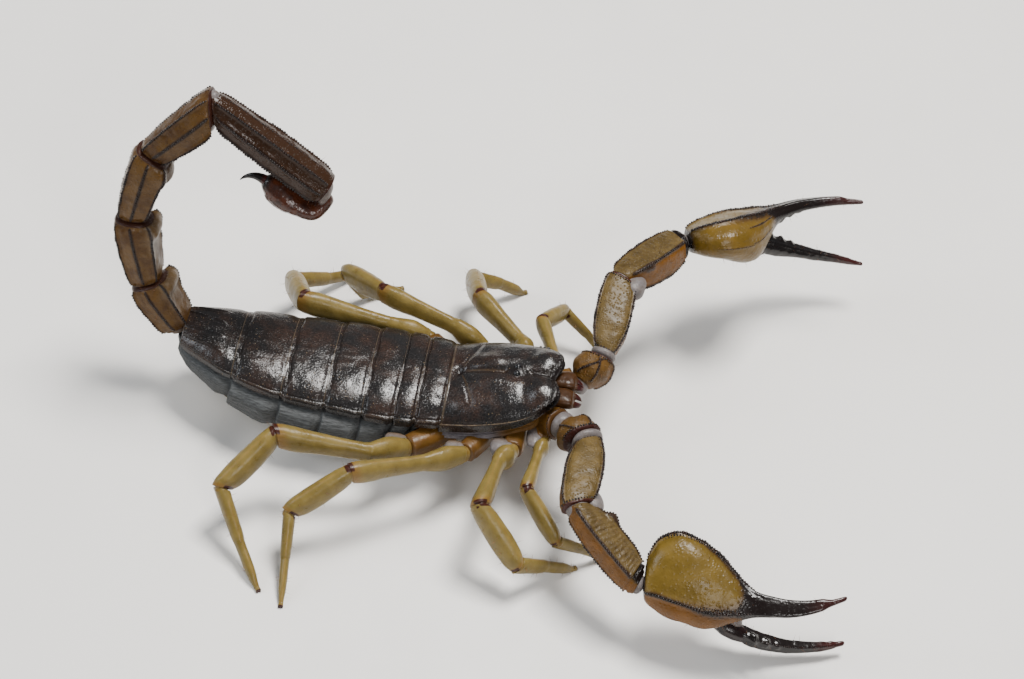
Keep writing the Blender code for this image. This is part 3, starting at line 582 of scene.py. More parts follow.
class Wire:
    """A socket in a material. Arithmetic on it adds Math nodes."""

    def __init__(self, finish, socket):
        self.finish, self.socket = finish, socket

    def sum(self, operation, *values):
        return self.finish.node("ShaderNodeMath", {"operation": operation},
                                dict(enumerate(values)))

    def __add__(self, other):
        return self.sum("ADD", self, other)

    __radd__ = __add__

    def __sub__(self, other):
        return self.sum("SUBTRACT", self, other)

    def __rsub__(self, other):
        return self.sum("SUBTRACT", other, self)

    def __mul__(self, other):
        return self.sum("MULTIPLY", self, other)

    __rmul__ = __mul__


class Finish:
    """A procedural material under construction."""

    def __init__(self, name):
        self.material = bpy.data.materials.new(name)
        self.material.use_nodes = True
        self.tree = self.material.node_tree
        self.tree.nodes.clear()
        self.object = None

    def node(self, kind, settings=None, sockets=None, output=0):
        """Add a node, and wrap the output that is wanted."""
        sockets = {key: value.socket if isinstance(value, Wire) else value
                   for key, value in (sockets or {}).items()}
        made = add_node(self.tree, kind, settings, sockets)
        return None if output is None else Wire(self, made.outputs[output])

    def place(self, stretch=(1, 1, 1)):
        """Object coordinates in millimetres, stretched by a factor on each axis."""
        if self.object is None:
            self.object = self.node("ShaderNodeTexCoord", output="Object")
        return self.node("ShaderNodeVectorMath", {"operation": "MULTIPLY"},
                         {0: self.object, 1: tuple(s / MM for s in stretch)})

    def mark(self, name):
        return self.node("ShaderNodeAttribute", {"attribute_name": name}, output="Fac")

    def noise(self, size, detail=3.0, rough=0.5, warp=0.0, stretch=(1, 1, 1)):
        """Cloudy values about 0.5, with clouds about size millimetres across."""
        return self.node("ShaderNodeTexNoise", None,
                         {"Vector": self.place(stretch), "Scale": 1 / size, "Detail": detail,
                          "Roughness": rough, "Distortion": warp})

    def grains(self, size, low=0.0, high=0.5):
        """1 in the middle of random grains about size millimetres apart, fading to 0."""
        away = self.node("ShaderNodeTexVoronoi", {"feature": "F1"},
                         {"Vector": self.place(), "Scale": 1 / size}, "Distance")
        return self.ease(away, low, high, 1.0, 0.0)

    def ease(self, value, low, high, start=0.0, end=1.0):
        """A value mapped smoothly from one range to another."""
        return self.node("ShaderNodeMapRange", {"interpolation_type": "SMOOTHSTEP"},
                         {"Value": value, "From Min": low, "From Max": high,
                          "To Min": start, "To Max": end})

    def vary(self, cloud, low, high):
        """A value between low and high that follows a cloudy field."""
        return self.ease(cloud, 0.3, 0.7, low, high)

    def mix(self, factor, first, second):
        """Mix two colours."""
        return self.node("ShaderNodeMix", {"data_type": "RGBA"},
                         {0: factor, 6: first, 7: second}, output=2)

    def tone(self, colour, brightness):
        """A colour made lighter or darker by a value."""
        grey = self.node("ShaderNodeCombineColor", None, {0: brightness, 1: brightness, 2: brightness})
        return self.node("ShaderNodeMix", {"data_type": "RGBA", "blend_type": "MULTIPLY"},
                         {0: 1.0, 6: colour, 7: grey}, output=2)

    def bump(self, height, millimetres):
        """A normal that follows a height field, millimetres high at a value of 1."""
        return self.node("ShaderNodeBump", None,
                         {"Height": height, "Distance": millimetres * MM, "Strength": 1.0})

    def shade(self, colour, roughness, normal, **constants):
        """Close the material with one Principled shader."""
        names = {"depth": "Subsurface Weight", "radius": "Subsurface Radius", "scale": "Subsurface Scale",
                 "level": "Specular IOR Level"}
        sockets = {"Base Color": colour, "Roughness": roughness, "Normal": normal}
        sockets.update({names[key]: value for key, value in constants.items()})
        shader = self.node("ShaderNodeBsdfPrincipled", None, sockets)
        self.node("ShaderNodeOutputMaterial", None, {"Surface": shader}, output=None)
        return self.material


# ---- finishes of this animal

def plate_gloss():
    """Near-black wet shell of the back: fine grains, red-brown cast, tan edges, sandy specks."""
    f = Finish("plate_gloss")
    cloud = f.noise(3.0, 4, 0.6)
    fine = f.noise(0.22, 3, 0.6)
    colour = f.mix(f.ease(cloud, 0.38, 0.72), hue("plate"), hue("plate_red"))
    colour = f.tone(colour, f.ease(fine, 0.3, 0.75, 0.6, 1.6))
    colour = f.mix(f.mark("glow") * f.ease(f.noise(0.9), 0.3, 0.6, 0.2, 0.8), colour, (0.10, 0.060, 0.026))
    speck = f.grains(0.42, 0.09, 0.17) * f.ease(f.noise(2.0, 2), 0.47, 0.62)
    colour = f.mix(speck * 0.7, colour, (0.20, 0.13, 0.055))
    colour = f.mix(f.mark("rim") * f.ease(f.noise(0.7), 0.3, 0.55, 0.35, 0.95), colour, hue("rim"))
    # Black where marked dark: the black shell round the eyes, and painted shade in the head's rear pit and in
    # the plates' grooves
    colour = f.mix(f.mark("dark"), colour, hue("keel"))
    grains = f.grains(0.24, 0.0, 0.55)
    height = grains * 0.6 + fine * 0.6 + grains * f.mark("dark") * 0.9 + f.noise(1.1, 3, 0.55) * 1.1
    rough = f.vary(cloud, 0.18, 0.27) + speck * 0.4 + f.mark("rim") * 0.15
    return f.shade(colour, rough, f.bump(height, 0.030), level=0.37)


def arm_cuticle():
    """Tan faces of the claw arms, freckled with dark grains, between black keels; amber sides."""
    f = Finish("arm_cuticle")
    cloud = f.noise(1.8, 4, 0.6)
    colour = f.mix(f.ease(f.mark("glow") + cloud * 0.3, 0.2, 1.1), hue("arm"), hue("amber"))
    face = 1 - f.ease(f.mark("glow"), 0.3, 0.8)
    dots = f.grains(0.36, 0.12, 0.26) * f.ease(f.noise(1.1), 0.40, 0.60, 0.15, 1.0)
    colour = f.mix(dots * face * 0.85, colour, (0.022, 0.011, 0.006))
    colour = f.tone(colour, f.ease(cloud, 0.3, 0.75, 0.75, 1.25))
    colour = f.mix(f.ease(f.mark("rim"), 0.2, 0.8), colour, (0.035, 0.008, 0.005))
    near = f.ease(f.mark("keel") + f.noise(0.5) * 0.5, 0.35, 0.95)
    colour = f.mix(near * 0.9, colour, (0.018, 0.008, 0.005))
    colour = f.mix(f.ease(f.mark("dark"), 0.2, 0.8), colour, hue("keel"))
    height = f.grains(0.30) * 0.8 + f.noise(0.8, 3) * 0.9
    rough = f.vary(cloud, 0.34, 0.46) - f.mark("dark") * 0.18
    return f.shade(colour, rough, f.bump(height, 0.06), level=0.22)


def hand_cuticle():
    """Mustard hand, pebbled and darker towards its black keels, amber below."""
    f = Finish("hand_cuticle")
    cloud = f.noise(2.6, 4, 0.6)
    side = f.ease(f.mark("glow") + cloud * 0.2, 0.25, 1.0)
    colour = f.mix(side, hue("hand"), hue("amber"))
    colour = f.tone(colour, f.ease(cloud, 0.3, 0.75, 0.82, 1.18))
    pebbles = f.grains(0.42, 0.0, 0.55)
    near = f.mark("keel") * 0.8 + f.mark("dark")
    colour = f.mix(f.ease(near + f.noise(0.5) * 0.35, 0.15, 0.75) * 0.75, colour, (0.040, 0.018, 0.007))
    colour = f.mix(f.ease(near + f.noise(0.4) * 0.4 + pebbles * 0.25, 0.55, 1.05), colour, hue("keel"))
    colour = f.mix(f.mark("rim"), colour, (0.030, 0.006, 0.005))
    height = pebbles * (near * 0.9 + 0.5) * (1 - f.mark("dark") * 0.8)
    height = height + f.noise(1.3, 3) * 0.9 + f.noise(0.3, 3) * 0.3
    rough = f.vary(cloud, 0.30, 0.40) - f.mark("dark") * 0.12
    return f.shade(colour, rough, f.bump(height, 0.06), level=0.28)


def horn_black():
    """Black glossy horn of fingers and sting, dark red where it is thin."""
    f = Finish("horn_black")
    colour = f.mix(f.ease(f.mark("glow") + f.noise(1.2) * 0.3, 0.3, 1.0), hue("keel"), (0.032, 0.006, 0.005))
    height = f.noise(0.9, 3, 0.5) + f.grains(0.5) * 0.3
    return f.shade(colour, f.vary(f.noise(0.9), 0.16, 0.26), f.bump(height, 0.035), level=0.45)


# Waxy finishes: warm tint, rim, joint, share of the light that goes in, roughness.
WAXES = {"leg": ((0.175, 0.115, 0.030), (0.17, 0.08, 0.015), (0.035, 0.009, 0.005), 0.2, 0.27),
         "coxa": ((0.13, 0.055, 0.010), (0.035, 0.012, 0.005), (0.02, 0.007, 0.004), 0.15, 0.3),
         "jaw": ((0.06, 0.022, 0.006), (0.04, 0.012, 0.005), (0.028, 0.005, 0.004), 0.15, 0.28)}


def wax(kind):
    """Smooth translucent cuticle of legs, leg bases or jaws."""
    warm, edge, joint, depth, rough = WAXES[kind]
    f = Finish(kind + "_cuticle")
    cloud = f.noise(1.6, 4, 0.55)
    colour = f.mix(f.ease(f.mark("glow") + cloud * 0.2, 0.3, 1.1), hue(kind), warm)
    colour = f.tone(colour, f.ease(cloud, 0.3, 0.75, 0.82, 1.15))
    colour = f.mix(f.ease(f.mark("rim"), 0.1, 1.0) * 0.6, colour, edge)
    colour = f.mix(f.ease(f.mark("dark") + f.noise(0.3) * 0.3, 0.4, 0.75), colour, joint)
    height = f.noise(0.8, 3, 0.5) + f.grains(0.4) * 0.3
    return f.shade(colour, f.vary(cloud, rough, rough + 0.12), f.bump(height, 0.045),
                   level=0.22, depth=depth, radius=(1.0, 0.6, 0.2), scale=0.0006)


def tail_cuticle():
    """Brown-olive tail segments with dark grainy keels and red joints; the last is near black."""
    f = Finish("tail_cuticle")
    cloud = f.noise(2.0, 4, 0.6)
    colour = f.mix(f.ease(cloud, 0.35, 0.7), hue("tail"), (0.050, 0.022, 0.006))
    colour = f.mix(f.mark("glow") * 0.45, colour, (0.12, 0.085, 0.045))
    colour = f.mix(f.ease(f.mark("dark"), 0.1, 0.9), colour, (0.026, 0.012, 0.006))
    dots = f.grains(0.34, 0.10, 0.26)
    colour = f.tone(colour, 1 - dots * 0.45)
    colour = f.mix(f.ease(f.mark("rim"), 0.2, 0.9), colour, (0.026, 0.008, 0.005))
    near = f.ease(f.mark("keel") + f.noise(0.4) * 0.4, 0.4, 0.95)
    colour = f.mix(near * 0.9, colour, (0.010, 0.005, 0.004))
    height = f.grains(0.26) * 0.6 + f.noise(0.9, 3) * 1.0
    return f.shade(colour, f.vary(cloud, 0.32, 0.44) - f.mark("dark") * 0.18, f.bump(height, 0.05),
                   level=0.20)


def sting_cuticle():
    """Red-brown grainy bulb."""
    f = Finish("sting_cuticle")
    cloud = f.noise(1.4, 4, 0.6)
    colour = f.mix(f.ease(cloud, 0.35, 0.7), hue("sting"), (0.022, 0.007, 0.004))
    colour = f.mix(f.ease(f.mark("dark"), 0.1, 0.9), colour, hue("keel"))
    height = f.grains(0.45) * 0.6 + f.noise(0.7, 3) * 0.8
    return f.shade(colour, f.vary(cloud, 0.20, 0.30), f.bump(height, 0.045), level=0.42)


def side_skin():
    """Grey-blue leathery skin in fine lengthwise folds, browner under the head, with painted shade in the
    folds' troughs and creases.
    """
    f = Finish("side_skin")
    cloud = f.noise(1.8, 4, 0.6)
    folds = f.noise(0.20, 4, 0.6, 0.6, (0.16, 1, 1.3))
    # Painted shade: the grey, lilac and amber tones follow the fold field that also bumps the skin, lighter on
    # the crests and darker in the troughs
    colour = f.tone(hue("skin"), f.ease(folds, 0.32, 0.68, 0.55, 1.3) * f.vary(cloud, 0.85, 1.15))
    lilac = f.tone((0.13, 0.115, 0.125), f.vary(folds, 0.6, 1.2))
    amber = f.tone(hue("coxa"), f.vary(folds, 0.7, 1.2))
    colour = f.mix(f.ease(f.mark("rim"), 0.0, 1.0) * 0.8, colour, lilac)
    colour = f.mix(f.ease(f.mark("glow"), 0.0, 1.0), colour, amber)
    # Darkens where the skin is marked dark: painted shade in the creases between the trunk's folds
    colour = f.tone(colour, 1 - f.mark("dark") * 0.65)
    height = folds * 1.0 + f.noise(0.9, 2) * 0.6
    return f.shade(colour, f.vary(cloud, 0.42, 0.55), f.bump(height, 0.10), level=0.25)


def joint_skin():
    """Pale lilac-white skin that bulges from the joints."""
    f = Finish("joint_skin")
    cloud = f.noise(0.9, 4, 0.6)
    folds = f.noise(0.4, 3, 0.5, 0.5)
    colour = f.mix(f.ease(cloud, 0.35, 0.7), hue("joint"), (0.125, 0.105, 0.095))
    # Painted shade: lighter on the crests of the folds that bump the skin, darker in their troughs
    colour = f.tone(colour, f.vary(folds, 0.8, 1.1))
    colour = f.mix(f.mark("glow"), colour, (0.10, 0.055, 0.018))
    colour = f.mix(f.mark("dark"), colour, (0.012, 0.004, 0.003))
    return f.shade(colour, f.vary(cloud, 0.34, 0.46), f.bump(folds, 0.05),
                   level=0.28, depth=0.15, radius=(1.0, 0.6, 0.5), scale=0.0006)


def eye_gloss():
    f = Finish("eye_gloss")
    colour = f.tone((0.004, 0.004, 0.005), f.noise(0.3, 2) + 0.5)
    return f.shade(colour, f.vary(f.noise(0.2), 0.06, 0.12), f.bump(f.noise(0.3), 0.003),
                   level=0.5)


def bead_horn():
    """Tiny shining beads of the keels."""
    f = Finish("bead_horn")
    colour = f.mix(f.ease(f.noise(0.8), 0.4, 0.7), hue("keel"), (0.022, 0.009, 0.006))
    return f.shade(colour, f.vary(f.noise(0.5), 0.18, 0.30), f.bump(f.noise(0.15), 0.01),
                   level=0.32)


def bristle_horn():
    f = Finish("bristle_horn")
    colour = f.mix(f.ease(f.noise(1.5), 0.35, 0.65), hue("bristle"), (0.12, 0.04, 0.015))
    return f.shade(colour, f.vary(f.noise(0.6), 0.35, 0.5), f.bump(f.noise(0.1), 0.003))


def pale_floor():
    f = Finish("pale_floor")
    colour = f.tone(hue("floor"), f.vary(f.noise(40, 3), 0.985, 1.015))
    return f.shade(colour, f.vary(f.noise(6, 3), 0.5, 0.6), f.bump(f.noise(0.8, 3), 0.01))


# ---- repeated small shapes

def nodes_tree(name, inputs):
    """The inputs of a new geometry tree, and calls to add a node, read an attribute and end the tree."""
    tree = bpy.data.node_groups.new(name, "GeometryNodeTree")
    tree.interface.new_socket("Geometry", in_out="INPUT", socket_type="NodeSocketGeometry")
    for key, kind in inputs:
        tree.interface.new_socket(key, in_out="INPUT", socket_type=kind)
    tree.interface.new_socket("Geometry", in_out="OUTPUT", socket_type="NodeSocketGeometry")
    entry, leave = tree.nodes.new("NodeGroupInput"), tree.nodes.new("NodeGroupOutput")

    def add(kind, settings=None, sockets=None):
        return add_node(tree, kind, settings, sockets)

    def named(kind, key):
        return add("GeometryNodeInputNamedAttribute", {"data_type": kind}, {"Name": key}).outputs["Attribute"]

    def close(geometry):
        smooth = add("GeometryNodeSetShadeSmooth", None, {"Geometry": geometry})
        finish = add("GeometryNodeSetMaterial", None,
                     {"Geometry": smooth.outputs["Geometry"], "Material": entry.outputs["Material"]})
        tree.links.new(finish.outputs["Geometry"], leave.inputs["Geometry"])
        return tree

    return entry.outputs, add, named, close


def grow(name, base, tree, values, material):
    """Run a geometry tree on a base mesh and keep its result as a plain piece."""
    holder = add_object(name, base)
    modifier = holder.modifiers.new("Grow", "NODES")
    modifier.node_group = tree
    sockets = {s.name: s.identifier for s in tree.interface.items_tree if s.in_out == "INPUT"}
    for key, value in {**values, "Material": material}.items():
        modifier[sockets[key]] = value
    bpy.context.view_layer.update()
    result = holder.evaluated_get(bpy.context.evaluated_depsgraph_get())
    mesh = bpy.data.meshes.new_from_object(result)
    holder.modifiers.remove(modifier)
    holder.data = mesh
    mesh.name = name
    mesh.materials.clear()
    mesh.materials.append(material)
    return holder


def bead_tree():
    """Beads along every line of a mesh; each line's points say outwards and how large."""
    given, add, named, close = nodes_tree("keel_beads", [
        ("Spacing", "NodeSocketFloat"), ("Radius", "NodeSocketFloat"), ("Seed", "NodeSocketInt"),
        ("Material", "NodeSocketMaterial")])
    curve = add("GeometryNodeMeshToCurve", None, {"Mesh": given["Geometry"]})
    even = add("GeometryNodeResampleCurve", {"mode": "LENGTH"},
               {"Curve": curve.outputs["Curve"], "Length": given["Spacing"]})
    bead = add("GeometryNodeMeshUVSphere", None, {"Segments": 7, "Rings": 5, "Radius": given["Radius"]})
    chance = add("FunctionNodeRandomValue", {"data_type": "FLOAT"}, {2: 0.7, 3: 1.15, "Seed": given["Seed"]})
    both = add("ShaderNodeMath", {"operation": "MULTIPLY"}, {0: named("FLOAT", "share"), 1: chance.outputs[1]})
    align = add("FunctionNodeAlignRotationToVector", {"axis": "Z"},
                {"Vector": named("FLOAT_VECTOR", "outward")})
    put = add("GeometryNodeInstanceOnPoints", None,
              {"Points": even.outputs["Curve"], "Instance": bead.outputs["Mesh"],
               "Rotation": align.outputs["Rotation"], "Scale": both.outputs[0]})
    real = add("GeometryNodeRealizeInstances", None, {"Geometry": put.outputs["Instances"]})
    return close(real.outputs["Geometry"])


def beads(name, lines, spacing, radius, seed, slot, material):
    """Beads along keel lines, as one piece."""
    points, edges, outward, shares, start = [], [], [], [], 0
    for line, normal, part in lines:
        points.append(line)
        outward.append(normal)
        shares.append(part)
        edges += [(start + i, start + i + 1) for i in range(len(line) - 1)]
        start += len(line)
    base = bpy.data.meshes.new(name + "_lines")
    base.from_pydata(placed(points), edges, [])
    store(base, "outward", "FLOAT_VECTOR", "vector", outward)
    store(base, "share", "FLOAT", "value", shares)
    piece = grow(name, base, bead_tree(), {"Spacing": spacing * MM, "Radius": radius * MM, "Seed": seed},
                 material)
    return settle(piece, slot)


# ---- head

def head_plan(u, v):
    """Forward and sideways place of a point of the head shield, and the height of its rim."""
    front = CARAPACE_LENGTH - NOTCH_DEPTH * np.exp(-(v / 0.28) ** 2) - 2.4 * np.abs(v) ** 5
    level = CARAPACE_LENGTH - NOTCH_DEPTH
    rim = 1.4 * np.clip((u - 0.7) / 0.3, 0, 1) ** 1.5 * (1 - 0.5 * np.abs(v) ** 3)
    x = level * u + (front - level) * u ** 3 - 0.34 * (1 - u) ** 12
    return x, v * along(CARAPACE_WIDTH, u), rim


def head_grooves(x, y):
    """Strength of the middle furrow, of the slanting rear furrows and of the rear pit."""
    wide = np.abs(y)
    middle = hump(y, 0, 0.42) * np.maximum(step(1.5, 2.6, x) * (1 - step(7.2, 8.0, x)), step(9.8, 10.6, x))
    slant = hump(x - (0.9 + 0.75 * wide - 0.05 * wide ** 2), 0, 0.42)
    slant = slant * step(0.5, 1.1, wide) * (1 - step(4.2, 5.6, wide))
    pit = hump(x, 1.2, 0.75) * hump(y, 0, 0.28 + 0.5 * np.clip(2.2 - x, 0, 2))
    return middle, slant, pit


def head_top(u, v):
    """Upper face of the head shield with its lobes, furrows, rear pit and eye hill."""
    x, y, rim = head_plan(u, v)
    dome = (1 - np.abs(v) ** 2.6) ** 0.62
    z = rim + (along(CARAPACE_HEIGHT, u) - rim) * dome
    middle, slant, pit = head_grooves(x, y)
    hill = hump(x, EYE[0], 0.9) * hump(y, 0, 0.8)
    hollow = hump(x, EYE[0] + 0.1, 1.9) * hump(y, 0, 1.3)
    lobe = hump(x, 12.1, 1.5) * hump(np.abs(y), 2.7, 1.7)
    dip = hump(x, 10.3, 0.9) * hump(np.abs(y), 3.4, 1.6)
    swell = hump(x, 5.4, 2.9) * hump(np.abs(y), 1.7, 1.1)
    border = hump(np.abs(v), 0.985, 0.012) * 0.10 + step(0.965, 0.99, u) * 0.10
    border = border + (1 - step(0.01, 0.03, u)) * 0.06 - 0.10 * hump(np.abs(v), 0.955, 0.014)
    z = z - size("furrow") * middle - 0.17 * slant * dome - 0.60 * pit
    z = z + 0.38 * hill - 0.30 * hollow + 0.42 * lobe * dome - 0.22 * dip * dome + 0.42 * swell * dome
    z = z + border
    p = head_point(x + (1 - u) ** 3 * z * math.tan(HEAD_PITCH), y, z)
    worn = 0.05 * lumps(p, 0.9, 11) + 0.05 * lumps(p, 2.4, 12)
    return p + (worn * dome)[..., None] * UP


def head_under(u, v):
    """Flat underside of the head shield."""
    x, y, rim = head_plan(u, v)
    z = rim - 0.45
    return head_point(x + (1 - u) ** 3 * z * math.tan(HEAD_PITCH), y, z)


def head_shield():
    shell = spread(lambda u, v, top: (head_top if top else head_under)(u, v), 170, 200)
    x, y, _ = head_plan(shell.along, shell.across)
    middle, slant, pit = head_grooves(x, y)
    line = 0.6 * hump(y, 0.14, 0.09) * middle
    line = np.maximum(line, 0.5 * hump(x - (1.1 + 0.75 * np.abs(y) - 0.05 * y ** 2), 0, 0.12) * slant)
    shell.mark("glow", line * shell.upper)
    border = np.maximum(hump(np.abs(shell.across), 0.972, 0.006), hump(shell.along, 0.012, 0.008) * 0.4)
    shell.mark("rim", border * (1 - step(0.9, 0.97, shell.along)) * shell.upper)
    black = np.maximum(hump(x, EYE[0] + 0.3, 1.3) * hump(y, 0, 0.75), hump(y, 0, 0.45) * step(9.8, 11, x))
    black = np.maximum(black, step(0.92, 0.99, shell.along))
    # Black shell round the eye hill and along the front edge; the rear pit is darkened too, which is painted
    # shade in the pit
    shell.mark("dark", np.maximum(black, 0.9 * pit) * shell.upper)
    # The rows of small eyes on each front corner.
    small = [ball(head_top(np.array(u), np.array(side * v)) - 0.04 * UP, r) for side in SIDES.values()
             for u, v, r in ((0.90, 0.84, 0.2), (0.87, 0.875, 0.18), (0.835, 0.90, 0.17))]
    settle(build("carapace_shell", [shell], plate_gloss()), "dark_shell", "carapace")
    settle(build("small_eyes", small, eye_gloss()), "black_shell")
    # Folded skin between the shield's edge and the leg bases.
    forward, up = head_axes()
    stations = []
    for x in np.linspace(-1.1, 12.2, 16):
        u = np.clip(x / (CARAPACE_LENGTH - NOTCH_DEPTH), 0, 1)
        top, low = 0.7 * np.clip((u - 0.7) / 0.3, 0, 1) ** 1.5 - 0.15, -2.5
        stations.append((head_point(x, 0, (top + low) / 2), forward, up,
                         along(CARAPACE_WIDTH, u) * (0.99 - 0.07 * step(0.4, 0.8, u)),
                         (top - low) / 2, (top - low) / 2, 2.6))
    collar = sweep(stations, 160, 160, (0.8, 1.6))
    side_on = collar.flanks(0, 70)
    collar.lift(side_on * (0.07 * np.sin(collar.around * 30 + 2 * lumps(collar.points, 2.0, 3))
                           + 0.14 * lumps(collar.points, 1.6, 6)))
    collar.mark("glow", step(0.45, 0.75, collar.along)).mark("rim", 1 - step(0.45, 0.75, collar.along))
    settle(build("head_skin", [collar], side_skin()), "soft_skin")


def ball(centre, radius, rows=16, sides=20):
    a = np.linspace(-math.pi / 2, math.pi / 2, rows)[1:-1]
    around = np.arange(sides) * 2 * math.pi / sides
    level, height = np.cos(a)[:, None], np.sin(a)[:, None]
    points = centre + radius * np.stack([level * np.cos(around), level * np.sin(around),
                                         np.repeat(height, sides, 1)], -1)
    place = (a / math.pi + 0.5)[:, None]
    return Shell(points, np.repeat(place, sides, 1), np.repeat(around[None], len(a), 0))


def middle_eyes():
    for name, side in SIDES.items():
        low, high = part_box("eye_" + name)
        radius = (high.z - low.z) / 2 / MM
        centre = head_point(EYE[0], side * EYE[1], EYE[2])
        settle(build("eye_dome_" + name, [ball(centre, radius, 28, 36)], eye_gloss()), "black_shell",
               "eye_" + name)


def head_axes():
    up = head_point(0, 0, 1) - HEAD_ORIGIN
    return head_point(1, 0, 0) - HEAD_ORIGIN, up


# Jaws in the head's own frame: (ahead, outwards, up, half width, half height).
JAW_BASE = [(12.2, 1.2, -0.45, 1.0, 0.65), (13.2, 1.32, -0.6, 1.24, 0.82), (14.1, 1.4, -0.75, 1.32, 0.86),
            (14.9, 1.4, -0.95, 1.26, 0.82), (15.5, 1.38, -1.15, 1.05, 0.66)]
JAW_FIXED = [(14.7, 0.85, -1.0, 0.5, 0.42), (15.5, 0.75, -1.2, 0.42, 0.36), (16.0, 0.8, -1.55, 0.27, 0.24),
             (16.2, 0.95, -1.85, 0.12, 0.12)]
JAW_MOVING = [(14.6, 1.8, -1.2, 0.5, 0.5), (15.4, 1.85, -1.4, 0.44, 0.42), (15.9, 1.65, -1.75, 0.3, 0.28),
              (16.15, 1.35, -2.0, 0.12, 0.12)]
# Breastplate: (ahead, half width, top, bottom).
BREASTPLATE = [(0.5, 4.3, -0.5, -3.0), (4, 5.0, -0.3, -4.3), (8, 4.6, -0.3, -4.6), (11.4, 3.6, -0.5, -4.2),
               (12.6, 2.6, -2.6, -3.9)]


def jaws():
    """Two short jaws: each a plump base with a fixed and a movable finger."""
    forward, up = head_axes()
    for name, side in SIDES.items():
        shells = []
        for k, part in enumerate((JAW_BASE, JAW_FIXED, JAW_MOVING)):
            power = 2.3 if k else 2.9
            stations = [(head_point(x, side * y, z), forward, up, w, h, h, power) for x, y, z, w, h in part]
            shell = sweep(stations, 40, 36, (0.5, 0.25), side)
            if k:
                shell.mark("dark", step(0.25, 0.8, shell.along))
            shell.wear(0.04, 0.6, 3)
            shells.append(shell)
        settle(build("jaw_" + name, shells, wax("jaw")), "jaw_shell", "chelicera_" + name)


def coxa_root(i, side):
    x, y, z = COXA_ROOT[i]
    return head_point(x, side * y, z)


def leg_bases():
    """Breastplate and the first joints of legs and arms under the head."""
    forward, up = head_axes()
    shells = [sweep([(head_point(x, 0, (top + low) / 2), forward, up, w, (top - low) / 2, (top - low) / 2, 3)
                     for x, w, top, low in BREASTPLATE], 60, 64, (1.0, 1.0))]
    shells[0].wear(0.08, 1.2, 5)
    rims = []
    for name, side in SIDES.items():
        for i in range(5):
            if i < 4:
                inner, outer = coxa_root(i, side), on_side(LEG_HIP[i], side)
                radius, last = 0.4 * LEG_DEPTH[i], 0.97
            else:
                inner, outer = head_point(11.0, side * 2.4, -2.9), palp_points(name)[0][0]
                radius, last = 1.75, 0.82
            axis = unit(outer - inner)
            reach = np.linalg.norm(outer - inner)
            stations = [(inner + axis * reach * t, axis, UP, radius * w, radius * w * 1.05,
                         radius * w * 1.05, 2.4)
                        for t, w in ((-0.05, 0.9), (0.3, 0.98), (0.7, 1.04), (last, 0.98))]
            shell = sweep(stations, 44, 60, (0.5, 0.35), side)
            shell.keel(60, 0.12, 0.3, 0.1, 0.9, 0, "glow").keel(200, 0.12, 0.3, 0.1, 0.9, 0, "glow")
            shell.mark("rim", step(0.84, 0.9, shell.along) * (1 if i == 4 else 0.5))
            if i == 4:
                row = np.argmin(np.abs(shell.along[:, 0] - 0.9))
                rims.append((shell.points[row], shell.normals()[row], np.full(shell.points.shape[1], 0.7)))
            shell.wear(0.05, 0.9, i)
            shells.append(shell)
    settle(build("leg_bases", shells, wax("coxa")), "leg_shell", "sternum_coxae")
    beads("base_beads", rims, size("bead_gap"), size("bead") * 0.7, 7, "black_shell", bead_horn())


# ---- trunk

def back_plates():
    """Seven arched plates, each reaching a little over the next."""
    gloss = plate_gloss()
    for i, (front, rear) in enumerate(zip(TERGITE_X, TERGITE_X[1:])):
        last = i == 6
        front, rear = front - GAP / 2, rear + GAP / 2 - (0.0 if last else size("plate_lip"))

        def surface(u, v, top):
            x = front + (rear - front) * u
            edge, crown = along(TERGITE_EDGE, x), along(TERGITE_TOP, x)
            arch = (1 - np.abs(v) ** 2.5) ** 0.7
            corner = 1 - 0.035 * hump(u, 0, 0.10) - 0.05 * hump(u, 1, 0.10)
            if top:
                wave = 0.02 * np.sin(9 * v + i)
                z = edge + 0.5 + (crown - edge - 0.5) * arch
                z = z + 0.14 * np.sin(np.pi * np.clip(u, 0, 1)) + 0.05 * hump(v, 0, 0.05) * step(0.2, 0.5, u)
                if not last:
                    z = z - 0.16 * hump(u - 0.89 - wave, 0, 0.025) + 0.05 * step(0.93, 1.0, u)
                z = z - 0.12 * hump(np.abs(v), 0.945, 0.014) + 0.02 * hump(np.abs(v), 0.98, 0.012)
                z = z - 0.10 * step(0.12, 0.02, u) * arch
                if last:
                    fade = step(0.2, 0.4, u) * (1 - step(0.93, 1, u))
                    z = z + 0.30 * hump(np.abs(v) - (0.14 + 0.22 * u), 0, 0.035) * fade
                    z = z + 0.30 * hump(np.abs(v) - (0.60 + 0.10 * u), 0, 0.03) * fade
            else:
                z = edge + 0.25 * step(0.9, 1, u) * (not last)
            points = np.stack([x, along(BODY_BEND, x) + v * along(TERGITE_WIDTH, x) * corner, z], -1)
            worn = 0.05 * lumps(points, 0.8, 21) + 0.06 * lumps(points, 2.6, 22)
            return points + (worn * arch * top)[..., None] * UP

        shell = spread(surface, 70, 150)
        shell.mark("rim", shell.upper * hump(shell.along, 0.988, 0.009) * (0.2 if last else 0.5))
        shell.mark("rim", shell.upper * hump(np.abs(shell.across), 0.975, 0.006) * 0.22)
        # Painted shade: the fine groove before each plate's rear lip is darkened in its colour
        shell.mark("dark", shell.upper * hump(shell.along, 0.89, 0.02) * 0.6 * (not last))
        settle(build(f"back_plate_{i + 1}", [shell], gloss), "dark_shell", f"tergite_{i + 1}")


